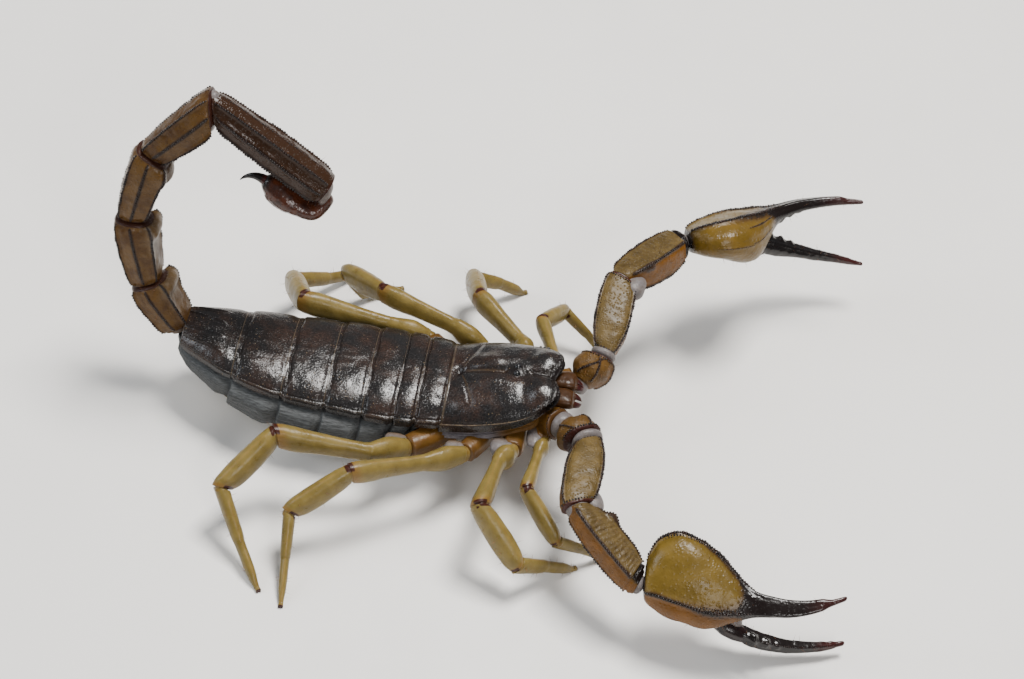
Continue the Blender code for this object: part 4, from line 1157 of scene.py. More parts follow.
def trunk_skin():
    """Soft skin of the sides and belly under the plates, folded between the segments."""
    stations = []
    for x in np.linspace(-6.2, -41.2, 24):
        at = np.clip(x, -40.5, -7)
        top = along(TERGITE_EDGE, at) + 0.15
        low = along(BELLY_FLOOR, at)
        middle = top - 0.38 * (top - low)
        stations.append((np.array((x, along(BODY_BEND, at), middle)), -FORWARD, UP,
                         along(BELLY_WIDTH, at), top - middle, middle - low, 2.8))
    shell = sweep(stations, 360, 200, (0.8, 2.8))
    x = shell.points[..., 0]
    flank = shell.flanks(-8, 62)
    order = np.interp(-x + 0.5 * np.sin(shell.around) * flank, [0.3 - e for e in TERGITE_X],
                      range(len(TERGITE_X)))
    # Each fold overlaps the next: it swells backwards and drops sharply at its rear edge.
    place = order - np.floor(order)
    lobe = step(0, 0.22, place) * (1 - step(0.93, 1.0, place)) * (0.75 + 0.25 * place)
    shell.lift((0.66 * lobe - 0.28) * flank + 0.10 * lumps(shell.points * (0.5, 1, 1), 1.0, 2) * flank)
    folds = np.sin(shell.around * 60 + lumps(shell.points * (0.5, 1, 1), 1.8, 4) * 5)
    shell.lift(0.03 * folds * flank * lobe)
    # Painted shade: the skin is darkened at the crease where one fold ends and the next begins
    shell.mark("dark", np.maximum(1 - step(0.0, 0.10, place), step(0.95, 1.0, place)) * flank)
    settle(build("trunk_skin", [shell], side_skin()), "soft_skin", "belly")


def belly_plates():
    """Five broad plates under the belly."""
    shells = []
    for front, rear in zip(BELLY_PLATE_X, BELLY_PLATE_X[1:]):
        def surface(u, v, under):
            x = front + (rear - front) * u
            low = along(BELLY_FLOOR, x)
            top = along(TERGITE_EDGE, x) + 0.15
            middle = top - 0.38 * (top - low)
            angle = v * math.radians(48)
            w, h = along(BELLY_WIDTH, x), middle - low
            s, c = np.sin(angle), np.cos(angle)
            grow_by = (0.14 + 0.1 * np.sin(np.pi * u)) * (1 - np.abs(v) ** 6) if under else -0.25
            y = np.sign(s) * np.abs(s) ** (2 / 2.8) * (w + grow_by)
            z = middle - np.abs(c) ** (2 / 2.8) * (h + grow_by)
            return np.stack([x, along(BODY_BEND, x) + y, z], -1)
        shells.append(spread(surface, 36, 90))
        shells[-1].mark("rim", shells[-1].upper * step(0.93, 0.99, shells[-1].along))
    settle(build("belly_plates", shells, wax("leg")), "leg_shell")


def combs():
    """The pair of combs behind the last leg bases."""
    leg = wax("leg")
    for name, side in SIDES.items():
        root, tip = np.array((-7.6, side * 1.2, 4.35)), np.array((-12.2, side * 6.0, 2.9))
        axis = unit(tip - root)
        reach = np.linalg.norm(tip - root)
        spine = sweep([(root + axis * reach * t, axis, UP, w, w * 0.7, w * 0.7, 2.4)
                       for t, w in ((-0.03, 0.45), (0.3, 0.5), (0.7, 0.45), (1.03, 0.3))],
                      40, 24, (0.3, 0.3), side)
        spine.lift(0.05 * np.cos(spine.along * 2 * math.pi * 5))
        shells = [spine]
        back = square_to(axis, np.array((-1.0, 0, -0.3)))
        for i in range(COMB_TEETH):
            foot = root + axis * reach * (i + 0.6) / COMB_TEETH
            shells.append(sweep([(foot + back * t, back, UP, w, w * 0.6, w * 0.6, 2.2)
                                 for t, w in ((0.1, 0.12), (0.6, 0.17), (1.1, 0.2), (1.35, 0.16))],
                                12, 12, (0.1, 0.15), side))
        settle(build("comb_" + name, shells, leg), "leg_shell", "pectine_" + name)


# ---- tail

def tail_joints():
    x, z, points = 0.0, 0.0, [tail_point(0, 0)]
    for reach, pitch in zip(TAIL_LENGTH, TAIL_PITCH):
        x += reach * math.cos(math.radians(pitch))
        z += reach * math.sin(math.radians(pitch))
        points.append(tail_point(x, z))
    return points


def tail():
    """Five keeled segments with pale skin between them."""
    points = tail_joints()
    axes = [tail_direction(p) for p in TAIL_PITCH]
    shell_finish, pale = tail_cuticle(), joint_skin()
    lines, skins = [], []
    for i in range(5):
        (w0, w1), (d0, d1) = TAIL_WIDTH[i], TAIL_DEPTH[i]
        up = tail_direction(TAIL_PITCH[i] - 90)
        swell = 1.06 if i < 4 else 1.02
        stations = [(0, w0 * 0.84, d0 * 0.86, d0 * 0.86, 2.6), (0.1, w0, d0, d0, 2.8),
                    (0.4, (w0 + w1) / 2 * swell, d1 * 0.98, d1 * 0.98, 2.9),
                    (0.72, w1 * swell, d1 * 1.03, d1, 2.9),
                    (0.92, w1, d1 * 1.02, d1 * 0.96, 2.8), (1, w1 * 0.9, d1 * 0.9, d1 * 0.86, 2.6)]
        shell = limb(points[i:i + 2], stations, up, axes[i - 1] if i else axes[0],
                     axes[i + 1] if i < 4 else axes[4], 130, 96)
        height, rise = size("keel"), step(0.35, 0.85, shell.along) * (i < 4)
        shell.lift(-0.35 * shell.facing(90, 42) * hump(shell.along, 0.5, 0.35))
        shell.lift(0.7 * shell.facing(90, 80) * hump(shell.along, 0.86, 0.12) * (i < 3))
        for angle in (45, 135):
            shell.keel(angle, height * (0.8 + 1.2 * rise), 0.30, 0.03, 0.97, paint=0.75 if i < 4 else 1.6)
        for angle in (225, 315):
            shell.keel(angle, height, 0.26, 0.03, 0.97)
        for angle in (0, 180):
            shell.lift(-0.10 * shell.facing(angle + 22, 18) - 0.10 * shell.facing(angle - 22, 18))
            shell.keel(angle, height * 0.6, 0.16, 0.03, 0.97, 0.8)
        shell.keel(270, height * 0.4, 0.3, 0.03, 0.97, 0.8, None)
        shell.mark("rim", 0.8 * np.maximum(1 - step(0.0, 0.015, shell.along), step(0.98, 0.995, shell.along)))
        shell.mark("glow", shell.facing(90, 80) * rise * (i < 2))
        shell.mark("dark", 1.0 if i == 4 else (0.3 if i == 3 else 0.12 * i))
        shell.mark("hair", step(0.1, 0.2, shell.along) * 0.22)
        shell.lift(0.06 * lumps(shell.points, 1.1, i) + 0.04 * lumps(shell.points, 0.5, i))
        lines += shell.bead_lines()
        settle(build(f"tail_ring_{i + 1}", [shell], shell_finish, "tail_bristles"),
               "dark_shell" if i == 4 else "brown_shell", f"tail_segment_{i + 1}")
        bend = unit(axes[max(i - 1, 0)] + axes[i])
        skins.append(blob(points[i], bend, up, 0.8, w0 * 0.60, d0 * 0.62, 0.4, 1.0, 2.4, 16, 60))
        skins[-1].mark("dark", 0.9 if 0 < i < 4 else 0.0).mark("glow", 0.5 if i == 0 else 0.2)
    # Skin between the last segment and the bulb.
    axis, up = axes[4], tail_direction(TAIL_PITCH[4] - 90)
    skins.append(sweep([(points[5] + axis * t + up * down, axis, up, w, w * 0.9, w * 0.9, 2.2)
                        for t, down, w in ((-0.4, 0.2, 1.5), (0.3, 0.55, 1.5), (0.95, 1.1, 1.2))],
                       24, 60, (0.4, 0.6)))
    skins[-1].mark("glow", 0.15)
    # Skin that shows on the outer side of the last bend.
    bend = unit(axes[4] - axes[3])
    skins.append(ball(points[4] - bend * 1.3, 0.9))
    settle(build("tail_joint_skin", skins, pale), "soft_skin")
    beads("tail_beads", lines, size("bead_gap"), size("bead") * 0.95, 3, "black_shell", bead_horn())


def telson_place(forward, down):
    axis, dorsal = tail_direction(TAIL_PITCH[4]), tail_direction(TAIL_PITCH[4] - 90)
    return tail_joints()[5] + axis * forward + dorsal * down


def telson_turn(degrees):
    heading = math.radians(degrees)
    return telson_place(math.cos(heading), -math.sin(heading)) - telson_place(0, 0)


# The bulb, measured from the end of the tail: (ahead, down, heading, half width, half depth).
BULB_ROUTE = [(0.6, 0.5, -88, 0.85, 0.7), (0.95, 1.0, -90, 0.95, 0.7), (0.95, 2.0, -105, 1.3, 0.85),
              (0.6, 3.1, -140, 1.8, 1.1), (-0.9, 3.65, 178, 2.15, 1.25), (-2.6, 3.95, 176, 2.15, 1.6),
              (-4.3, 4.0, 172, 1.75, 1.6), (-5.6, 3.85, 174, 1.15, 1.15), (-6.4, 3.85, 184, 0.7, 0.68)]
NEEDLE_PIECES = 13


def sting():
    """The bulb folded under the last segment, and the sting with its small tooth."""
    side = np.cross(tail_direction(0), tail_direction(90))
    stations = []
    for forward, down, angle, w, d in BULB_ROUTE:
        axis = telson_turn(angle)
        stations.append((telson_place(forward, down), axis, np.cross(side, axis), w, d, d, 2.1))
    bulb = sweep(stations, 140, 96, (0.4, 0.5))
    bulb.lift(0.03 * lumps(bulb.points, 0.55, 8) + 0.03 * lumps(bulb.points, 1.2, 9))
    for angle in (60, 120, 250, 290):
        bulb.keel(angle, 0.10, 0.3, 0.3, 0.85, 0.6)
    bulb.mark("dark", step(0.86, 1.0, bulb.along))
    settle(build("sting_bulb", [bulb], sting_cuticle()), "red_shell", "telson_vesicle")
    needle, forward, down = [], -6.0, 3.9
    for i in range(NEEDLE_PIECES + 2):
        t = (i - 1) / NEEDLE_PIECES
        angle = 188 + 84 * max(t, 0) ** 1.2
        r = 0.64 * (1 - t) + 0.06 * t
        axis = telson_turn(angle)
        needle.append((telson_place(forward, down), axis, np.cross(side, axis), r, r, r, 2))
        forward += 0.245 * math.cos(math.radians(angle))
        down -= 0.245 * math.sin(math.radians(angle))
    spike = sweep(needle, 60, 36, (0.1, 0.06))
    spike.mark("glow", 1 - step(0, 0.3, spike.along))
    tooth = ball(telson_place(-5.9, 4.6), 0.26)
    settle(build("sting_needle", [spike, tooth], horn_black()), "black_shell", "aculeus")
    beads("bulb_beads", bulb.bead_lines(), 0.5, 0.12, 5, "red_shell", sting_cuticle())


# ---- claw arms

def palp_points(name):
    """Joint, elbow, and the ends of femur, patella and hand, with the segment directions."""
    side, pose = SIDES[name], PALP_POSE[name]
    points = [on_side(place[name], side) for place in (PALP_JOINT, PALP_ELBOW)]
    for part in ("femur", "patella", "hand"):
        points.append(points[-1] + direction(*pose[part], side) * PALP_LENGTH[part])
    return points, [unit(b - a) for a, b in zip(points, points[1:])]


def hand_frame(name):
    """Wrist, and the hand's forward, outward and upward directions after its roll."""
    points, axes = palp_points(name)
    forward, side = axes[3], SIDES[name]
    up = square_to(forward, UP)
    roll = math.radians(PALP_POSE[name]["roll"]) * side
    up = np.array(Matrix.Rotation(-roll, 3, forward.tolist()) @ Matrix.Identity(3)) @ up
    return points[3], forward, np.cross(up, forward) * side, up


# Sections of the arm's segments: (share of the length, half width, top, bottom, power).
TROCHANTER = [(0, 1.4, 1.5, 1.5, 2.3), (0.45, 2.3, 2.2, 2.4, 2.5), (1, 2.1, 2.1, 2.3, 2.5)]
FEMUR = [(0, 1.1, 1.3, 1.3, 2.8), (0.12, 1.65, 1.6, 1.6, 3.4), (0.32, 2.15, 1.75, 1.75, 4),
         (0.55, 2.3, 1.8, 1.8, 4), (0.85, 2.15, 1.75, 1.75, 3.6), (1, 1.75, 1.6, 1.6, 2.8)]
PATELLA = [(0, 1.4, 1.5, 1.6, 2.8), (0.16, 1.95, 1.75, 1.9, 3.2), (0.4, 2.3, 1.9, 2.1, 3.4),
           (0.75, 2.2, 1.9, 2.1, 3.4), (0.93, 1.8, 1.7, 1.8, 2.8), (1, 1.5, 1.5, 1.5, 2.6)]


def arm_trochanter(points, axes, side):
    shell = limb([points[0] + axes[0] * GAP / 2, points[1] - axes[0] * 0.7], TROCHANTER, UP, None,
                 axes[1], 70, 96, side)
    for start, finish_at in (((70, 120), (145, 100), (215, 175)) if side > 0 else ((40, 70), (150, 110))):
        shell.keel([(0, start), (1, finish_at)], size("keel") * 0.8, 0.22, 0.12, 0.93, 0.75)
    shell.mark("glow", 0.5 + 0.4 * shell.facing(250, 100))
    shell.mark("rim", step(0.965, 0.99, shell.along) * 0.8)
    shell.mark("keel", 0.25)
    return shell


def arm_femur(points, axes, side):
    shell = limb(points[1:3], FEMUR, UP, axes[0], axes[2], 120, 128, side)
    shell.lift(0.12 * shell.facing(90, 50) * hump(shell.along, 0.45, 0.4))
    for angle in (36, 144):
        shell.keel(angle, size("keel"), 0.30, 0.05, 0.95, paint=1.0)
        shell.keel(90 + (angle - 90) * 0.75, 0, 0.3, 0.04, 0.7, 0.45, None)
    for angle in (235, 305):
        shell.keel(angle, size("keel"), 0.28, 0.05, 0.95)
    shell.mark("rim", step(0.97, 0.99, shell.along) * 0.8)
    shell.mark("glow", shell.flanks(-12, 50) * 0.8)
    return shell


def arm_patella(name, points, axes, side):
    table = [(t, w * PATELLA_BREADTH[name], top, low * PATELLA_UNDER[name], power)
             for t, w, top, low, power in PATELLA]
    shell = limb(points[2:4], table, unit(np.array(PATELLA_TILT[name])), axes[1], axes[3], 130, 128, side)
    shell.lift(-0.12 * shell.facing(90, 40) * hump(shell.along, 0.5, 0.35))
    shell.lift(0.03 * np.sin(shell.along * 110 + 3 * lumps(shell.points, 1.5, 3)) * shell.facing(90, 45))
    for angle in (40, 140, 225, 315):
        shell.keel(angle, size("keel") * 1.15, 0.34, 0.06, 0.9, paint=0.95)
    spur = hump(shell.away(152), 0, 0.7) * hump(shell.along, 0.27, 0.09)
    shell.lift((0.9 if side < 0 else 0.4) * spur).mark("keel", spur)
    shell.mark("keel", 0.28 * shell.facing(90, 60))
    shell.mark("glow", shell.flanks(-5, 60))
    end_face = np.maximum(shell.facing(90, 75), shell.facing(160, 60))
    shell.mark("dark", step(0.90, 0.93, shell.along) * end_face)
    shell.lift(0.30 * hump(shell.along, 0.955, 0.02) * (0.4 + 0.6 * shell.facing(140, 80)))
    shell.lift(0.18 * hump(shell.along, 0.90, 0.014))
    return shell


def arm_skins(name, points, axes, side):
    """Pale skin between the segments of an arm."""
    skins = []
    # Skin at the hip, after the trochanter, at the elbow and at the wrist: half length and width.
    blobs = ((1.0, 1.65 if side < 0 else 1.25), (0.75, 1.95 if side < 0 else 1.6), (1.1, 1.4), (0.7, 1.1))
    for i, (reach, wide) in enumerate(blobs):
        before, after = axes[max(i - 1, 0)], axes[i]
        axis = unit(before + after)
        middle = points[i] - axis * 0.35 * (i == 0)
        skins.append(blob(middle, axis, UP, reach, wide, wide, 0.5, 0.85, sides=64, side=side))
    # The elbow's skin swells out on the inner side of the bend.
    inside = unit(axes[2] - axes[1])
    middle = points[2] + inside * ELBOW_SKIN[name] - axes[1] * 0.3 + UP * (0.5 if side < 0 else 1.3)
    skins.append(sweep([(middle + UP * t, UP, -inside, 1.7 * w, 1.3 * w, 1.3 * w, 2.2)
                        for t, w in ((-1.3, 0.85), (0, 1.0), (1.2, 0.85))], 30, 48, (0.6, 0.6), side))
    for i, shell in enumerate(skins):
        shell.wear(0.05, 0.8, i)
    return skins


def claw_arms():
    """Trochanter, femur and patella of each arm, with beaded keels and pale joint skin."""
    finish, pale = arm_cuticle(), joint_skin()
    lines = []
    for name, side in SIDES.items():
        points, axes = palp_points(name)
        trochanter, femur = arm_trochanter(points, axes, side), arm_femur(points, axes, side)
        shells = [trochanter, femur, arm_patella(name, points, axes, side)]
        for shell in shells:
            shell.lift(0.06 * lumps(shell.points, 1.0, 2) + 0.02 * lumps(shell.points, 0.4, 3))
            shell.mark("hair", step(0.1, 0.2, shell.along) * 0.35)
            lines += shell.bead_lines()
        for shell, at in ((femur, 0.03), (femur, 0.965), (trochanter, 0.955)):
            row = np.argmin(np.abs(shell.along[:, 0] - at))
            upper = np.flatnonzero(np.sin(shell.around[row]) > 0.1)
            lines.append((shell.points[row, upper], shell.normals()[row, upper], np.full(len(upper), 0.75)))
        settle(build("claw_arm_" + name, shells, finish, "arm_bristles"), "olive_shell",
               *(f"pedipalp_{name}_{part}" for part in ("trochanter", "femur", "patella")))
        settle(build("arm_joint_skin_" + name, arm_skins(name, points, axes, side), pale), "soft_skin")
    beads("arm_beads", lines, size("bead_gap"), size("bead"), 11, "black_shell", bead_horn())


HAND = [(0.5, 0.1, 0, 1.2, 1.2, 1.1), (1.1, -0.7, 0, 2.8, 1.8, 1.1), (2.1, -1.3, 0, 4.1, 2.2, 1.4),
        (3.9, -1.3, 0, 4.9, 2.5, 1.9), (5.7, -1.0, 0, 5.0, 2.6, 2.5), (7.5, -0.4, 0, 4.8, 2.6, 3.0),
        (9.1, 0.1, 0.1, 4.1, 2.3, 3.0), (10.6, 0.5, 0.5, 3.1, 1.8, 2.3), (12.0, 0.9, 0.9, 2.1, 1.15, 1.5),
        (13.4, 1.1, 1.25, 1.4, 0.8, 1.0), (15.6, 1.2, 1.5, 1.05, 0.68, 0.78),
        (17.6, 1.2, 1.5, 0.88, 0.6, 0.65), (19.8, 0.8, 1.45, 0.65, 0.5, 0.55),
        (22.0, 0.05, 1.25, 0.42, 0.42, 0.42), (23.9, -0.7, 0.95, 0.27, 0.27, 0.27)]
# Round bodies of the hand: (ahead, outwards, down, half width, half height where it differs).
KNUCKLE = [(7.4, 1.0, 0.6, 1.5), (9.6, 3.0, 2.0, 1.65), (11.1, 4.3, 3.0, 1.0)]
FINGER = [(0, 0, 0, 0.75, 0.8), (0.9, 0.35, 0.25, 1.0, 1.25), (2.6, 0.95, 0.85, 1.0, 1.3),
          (5.0, 1.45, 1.7, 0.85, 0.95), (7.3, 1.6, 2.5, 0.7, 0.75), (9.6, 1.45, 3.2, 0.55, 0.55),
          (11.3, 1.2, 3.75, 0.42, 0.42), (13.0, 0.8, 4.2, 0.27, 0.27)]
FINGER_ROOT = [(-3.0, -1.4, -0.7, 0.9, 1.2), (-1.6, -0.7, -0.25, 1.25, 1.55), (-0.2, -0.05, 0.05, 1.25, 1.6),
               (1.4, 0.5, 0.4, 1.0, 1.3), (2.2, 0.8, 0.7, 0.9, 1.15)]
FINGER_SKIN = [(-1.2, -2.2, -1.6, 0.9), (-0.1, -1.7, -1.2, 1.15), (1.0, -1.0, -0.6, 0.75)]


def palm_shell(name, side, wrist, forward, outward, up):
    """The broad hand and its fixed finger, with two strong keels and freckled edges."""
    palm = sweep([(wrist + forward * (x * HAND_REACH[name]) + outward * y + up * z, forward, up, w, top,
                   low * along(HAND_UNDER[name], x), 2.3) for x, y, z, w, top, low in HAND],
                 260, 144, (0.5, 0.3), side)
    reach = (palm.points - wrist) @ forward
    # Main keels of the hand: the outer one, and the inner one that forms its edge.
    inner = 172 if side < 0 else 119
    outer_line, inner_line = [(0, 62), (0.5, 58), (1, 50)], [(0, inner - 6), (0.3, inner), (1, inner + 4)]
    swell = step(0.06, 0.42, palm.along)
    for line, high, broad, bead in ((outer_line, 1.2, 0.34, 1.0), (inner_line, 1.4, 0.40, 1.25)):
        palm.keel(line, size("keel") * high, broad, 0.03, 0.9, 0)
        palm.keel(line, 0, broad, 0.03, 0.55, bead, None)
    palm.keel([(0, 190), (0.5, 188), (1, 186)], size("keel") * 0.3, 0.3, 0.12, 0.46, 0.5, paint=0.3)
    palm.keel([(0, inner + 34), (1, inner + 34)], size("keel") * 0.4, 0.3, 0.30, 0.47, 0.7, paint=0.5)
    for line, reach_in in ((outer_line, 0.45), (inner_line, 1.0)):
        shade = hump(palm.away(line), 0, 0.30 + reach_in * swell) * step(0.05, 0.3, palm.along)
        palm.mark("keel", shade * (0.45 + 0.5 * swell))
        for turn_by, share_by in ((4, 0.8), (8, 0.6)):
            beside = [(t, v + (turn_by if line is outer_line else -turn_by)) for t, v in line]
            palm.keel(beside, 0.0, 0.3, 0.10 if line is inner_line else 0.3, 0.52, share_by, None)
    palm.mark("dark", step(11.0, 13.4, reach)).mark("dark", 1 - step(0.5, 1.0, reach))
    around = np.degrees(palm.around)
    top_face = step(-6, 6, around - 60) * (1 - step(-6, 6, around - inner))
    palm.mark("glow", (1 - top_face) * (1 - step(11, 13, reach)) * (0.95 if side < 0 else 0.35))
    palm.mark("hair", step(2, 5, reach) * 0.4)
    worn = 0.02 * lumps(palm.points, 0.5, 1) + 0.09 * lumps(palm.points, 1.8, 2)
    palm.lift(worn * (1 - step(11, 13, reach)))
    bite = palm.facing(270, 50) * step(12.2, 12.8, reach)
    palm.lift(0.30 * bite * (hump(reach, 13.8, 0.5) + 0.8 * hump(reach, 15.2, 0.4)
                             + 0.4 * hump(reach, 16.5, 0.35)))
    palm.mark("rim", step(18.5, 23.0, reach) * 0.9)
    return palm


def hands():
    """Broad hands that run on into the fixed finger, and the movable fingers."""
    finish, black, pale = hand_cuticle(), horn_black(), joint_skin()
    lines, teeth = [], []
    for name, side in SIDES.items():
        wrist, forward, outward, up = hand_frame(name)

        def tube(base, table, power, rows, sides, ends, longer=1.0, lower=1.0):
            return sweep([(base + forward * (x * longer) + outward * y - up * (z * lower), forward, up,
                           radii[0], radii[-1], radii[-1], power) for x, y, z, *radii in table],
                         rows, sides, ends, side)

        palm = palm_shell(name, side, wrist, forward, outward, up)
        knuckle = tube(wrist, KNUCKLE, 2.2, 60, 60, (0.6, 0.5))
        knuckle.mark("glow", 0.9).mark("dark", step(0.45, 0.6, knuckle.along))
        knuckle.wear(0.06, 0.7, 6)
        settle(build("hand_" + name, [palm, knuckle], finish, "arm_bristles"), "olive_shell",
               f"pedipalp_{name}_hand")
        lines += palm.bead_lines()
        hinge = wrist + forward * 11.4 + outward * 4.4 - up * 3.1
        finger = tube(hinge, FINGER, 2.2, 150, 64, (0.5, 0.3), FINGER_REACH[name], FINGER_DROP[name])
        along_finger = (finger.points - hinge) @ forward
        for angle in (25, 90, 155):
            finger.keel(angle, 0.12, 0.22, 0.08, 0.9, 0)
        bite = hump(along_finger, 2.4, 0.45) + 0.7 * hump(along_finger, 4.0, 0.4)
        finger.lift(0.45 * finger.facing(90, 45) * (bite + 0.4 * hump(along_finger, 5.4, 0.35)))
        finger.mark("glow", step(0.55, 1.0, finger.along))
        finger.mark("hair", 0.8)
        finger.wear(0.04, 0.6, 4)
        # The finger's broad root, which turns against the knuckle.
        root = tube(hinge, FINGER_ROOT, 2.2, 70, 64, (0.9, 0.8))
        root.wear(0.05, 0.7, 7)
        root.mark("glow", 0.35)
        settle(build("finger_" + name, [finger, root], black, "arm_bristles"), "black_shell",
               f"pedipalp_{name}_finger")
        palm.keels, finger.keels = [(270, 0.56, 0.97, 1.0)], [(90, 0.12, 0.95, 1.0)]
        teeth += palm.bead_lines() + finger.bead_lines()
        skin = tube(hinge, FINGER_SKIN, 2, 30, 48, (0.6, 0.6))
        skin.wear(0.06, 0.5, 2)
        settle(build("finger_skin_" + name, [skin], pale), "soft_skin")
    beads("hand_beads", lines, size("bead_gap"), size("bead"), 21, "black_shell", bead_horn())
    beads("finger_teeth", teeth, 0.25, 0.11, 31, "black_shell", bead_horn())


# ---- legs

def legs():
    """Eight legs: femur, patella, shin and foot with two claws, and pale skin at the joints."""
    finish, pale, black = wax("leg"), joint_skin(), horn_black()
    for i in range(4):
        for name, side in SIDES.items():
            leg(i, name, side, finish, pale, black)


def leg_path(i, name, side):
    """The hip and every joint of a leg down to its toe, and the segments' directions."""
    path = [on_side(place, side) for place in (LEG_HIP[i], LEG_TROCHANTER[name][i])]
    poses, reaches = LEG_POSE[name][i], LEG_LENGTH[i]
    for pose, reach in zip(poses, reaches):
        path.append(path[-1] + direction(*pose, side) * reach)
    drop = path[-1][2] - TARSUS_TIP * 0.42
    slope = -math.degrees(math.asin(drop / reaches[3]))
    path.append(path[-1] + direction(poses[2][0], slope, side) * reaches[3])
    path.append(path[-1] + direction(poses[2][0], 0, side) * TOE_LENGTH)
    return path, [unit(b - a) for a, b in zip(path, path[1:])]


def toe_claws(toe, heading, side):
    """Two small curved claws that spread from a toe to the floor."""
    claws = []
    for spread_by in (-20, 20):
        stations = []
        for t in np.linspace(0, 1, 6).tolist():
            ahead = direction(heading + spread_by * (1 - 0.3 * t), 0, side)
            centre = toe + ahead * 0.95 * t
            centre[2] = toe[2] * (1 - t) + 0.08 * t + 0.25 * math.sin(math.pi * t)
            r = 0.12 * (1 - t) + 0.03 * t
            stations.append((centre, ahead, UP, r, r, r, 2))
        claws.append(sweep(stations, 24, 16, (0.05, 0.05), side))
    return claws


def leg(i, name, side, finish, pale, black):
    depth, flat = LEG_DEPTH[i] / 2, LEG_FLATNESS
    path, axes = leg_path(i, name, side)
    first = path[0] + axes[0] * GAP / 2

    def shape(table, power):
        return [(w, d * flat * depth, d * depth, d * depth, power) for w, d in table]

    thigh = ((0, 0.8), (0.5, 1.05), (1, 0.8), (1.08, 0.72), (1.5, 0.82), (1.85, 0.98), (2, 0.9))
    femur = limb([first, path[1], path[2]], shape(thigh, 2.3), UP, None, axes[2], 120, 60, side)
    patella = limb(path[2:4], shape(((0, 0.82), (0.18, 0.95), (0.6, 1.04), (0.88, 0.95), (1, 0.75)), 2.3),
                   UP, axes[1], axes[3], 90, 60, side)
    tip = TARSUS_TIP / 2
    shin = shape(((0, 0.68), (0.2, 0.66), (0.9, 0.56), (1, 0.5), (1.1, 0.48), (1.7, 0.42)), 2.2)
    shin += [(2, tip, tip, tip, 3), (3, tip, tip, tip, 3)]
    foot = limb(path[3:7], shin, UP, axes[2], None, 150, 48, side)
    for shell, keels in ((femur, (90, 270)), (patella, (90, 270)), (foot, (90,))):
        for angle in keels:
            shell.keel(angle, 0.06, 0.3, 0.06, 0.9, 0, "glow", 0.6)
        shell.wear(0.03, 1.1, i)
    femur.mark("dark", step(0.972, 0.985, femur.along) * femur.facing(90, 55))
    patella.mark("dark", (1 - step(0.02, 0.05, patella.along)) * patella.facing(90, 45))
    for shell, end_at in ((patella, step(0.95, 0.975, patella.along)), (foot, 1 - step(0.0, 0.02, foot.along))):
        shell.mark("dark", end_at * shell.flanks(20, 40))
    for shell in (femur, patella):
        shell.mark("rim", step(0.9, 1.0, shell.along))
    foot.mark("dark", step(0.93, 1.0, foot.along) * 0.8)
    foot.mark("hair", 1.0)
    patella.mark("hair", 0.55)
    foot.points[..., 2] = np.maximum(foot.points[..., 2], 0.0)
    title = f"leg_{i + 1}_{name}"
    settle(build(title, [femur, patella, foot], finish, "leg_bristles"), "leg_shell",
           *(f"{title}_{part}" for part in ("femur", "patella", "foot")))
    skins = []
    for at, before, after, r in ((path[0], axes[0], axes[0], 0.74), (path[2], axes[1], axes[2], 0.82),
                                 (path[3], axes[2], axes[3], 0.62)):
        r *= depth
        skins.append(blob(at, unit(before + after), UP, 0.8, r * flat, r, 0.4, 0.9, 2.2, 20, 40, side))
        skins[-1].mark("dark", skins[-1].facing(90, 55) * (len(skins) == 2)).mark("rim", 0.5)
    # A soft pad on the upper side of the hip, inwards of the first joint.
    inner = unit(coxa_root(i, side) - path[0])
    middle = path[0] + inner * (0.1 if i else 0.7) + np.array((-0.75 * depth, 0, 0.30 * depth))
    pad = blob(middle, FORWARD, UP, depth * 0.85, (0.8 if i else 1.5) * depth, 0.5 * depth, 0.5, 0.8, 2.4,
               side=side)
    pad.mark("glow", step(0.0, 0.9 * depth, side * (middle[1] - pad.points[..., 1])) * 0.9)
    pad.wear(0.05, 0.8, i)
    settle(build(title + "_joint_skin", [pad], pale), "soft_skin")
    settle(build(title + "_joints", skins, finish), "leg_shell")
    claws = toe_claws(path[5] - axes[4] * 0.25, LEG_POSE[name][i][2][0], side)
    settle(build(title + "_claws", claws, black), "black_shell")


# ---- bristles

BRISTLE_STRAY = 0.45            # how far a bristle leans away from the surface's normal
BRISTLE_PATCH = 0.003           # size of each bristle's patch of the map
BRISTLES_PER_SQUARE_MM = 0.5    # where the surface is marked fully hairy
FLOOR_CLEARANCE = 0.00002       # metres that a bristle stays above the floor


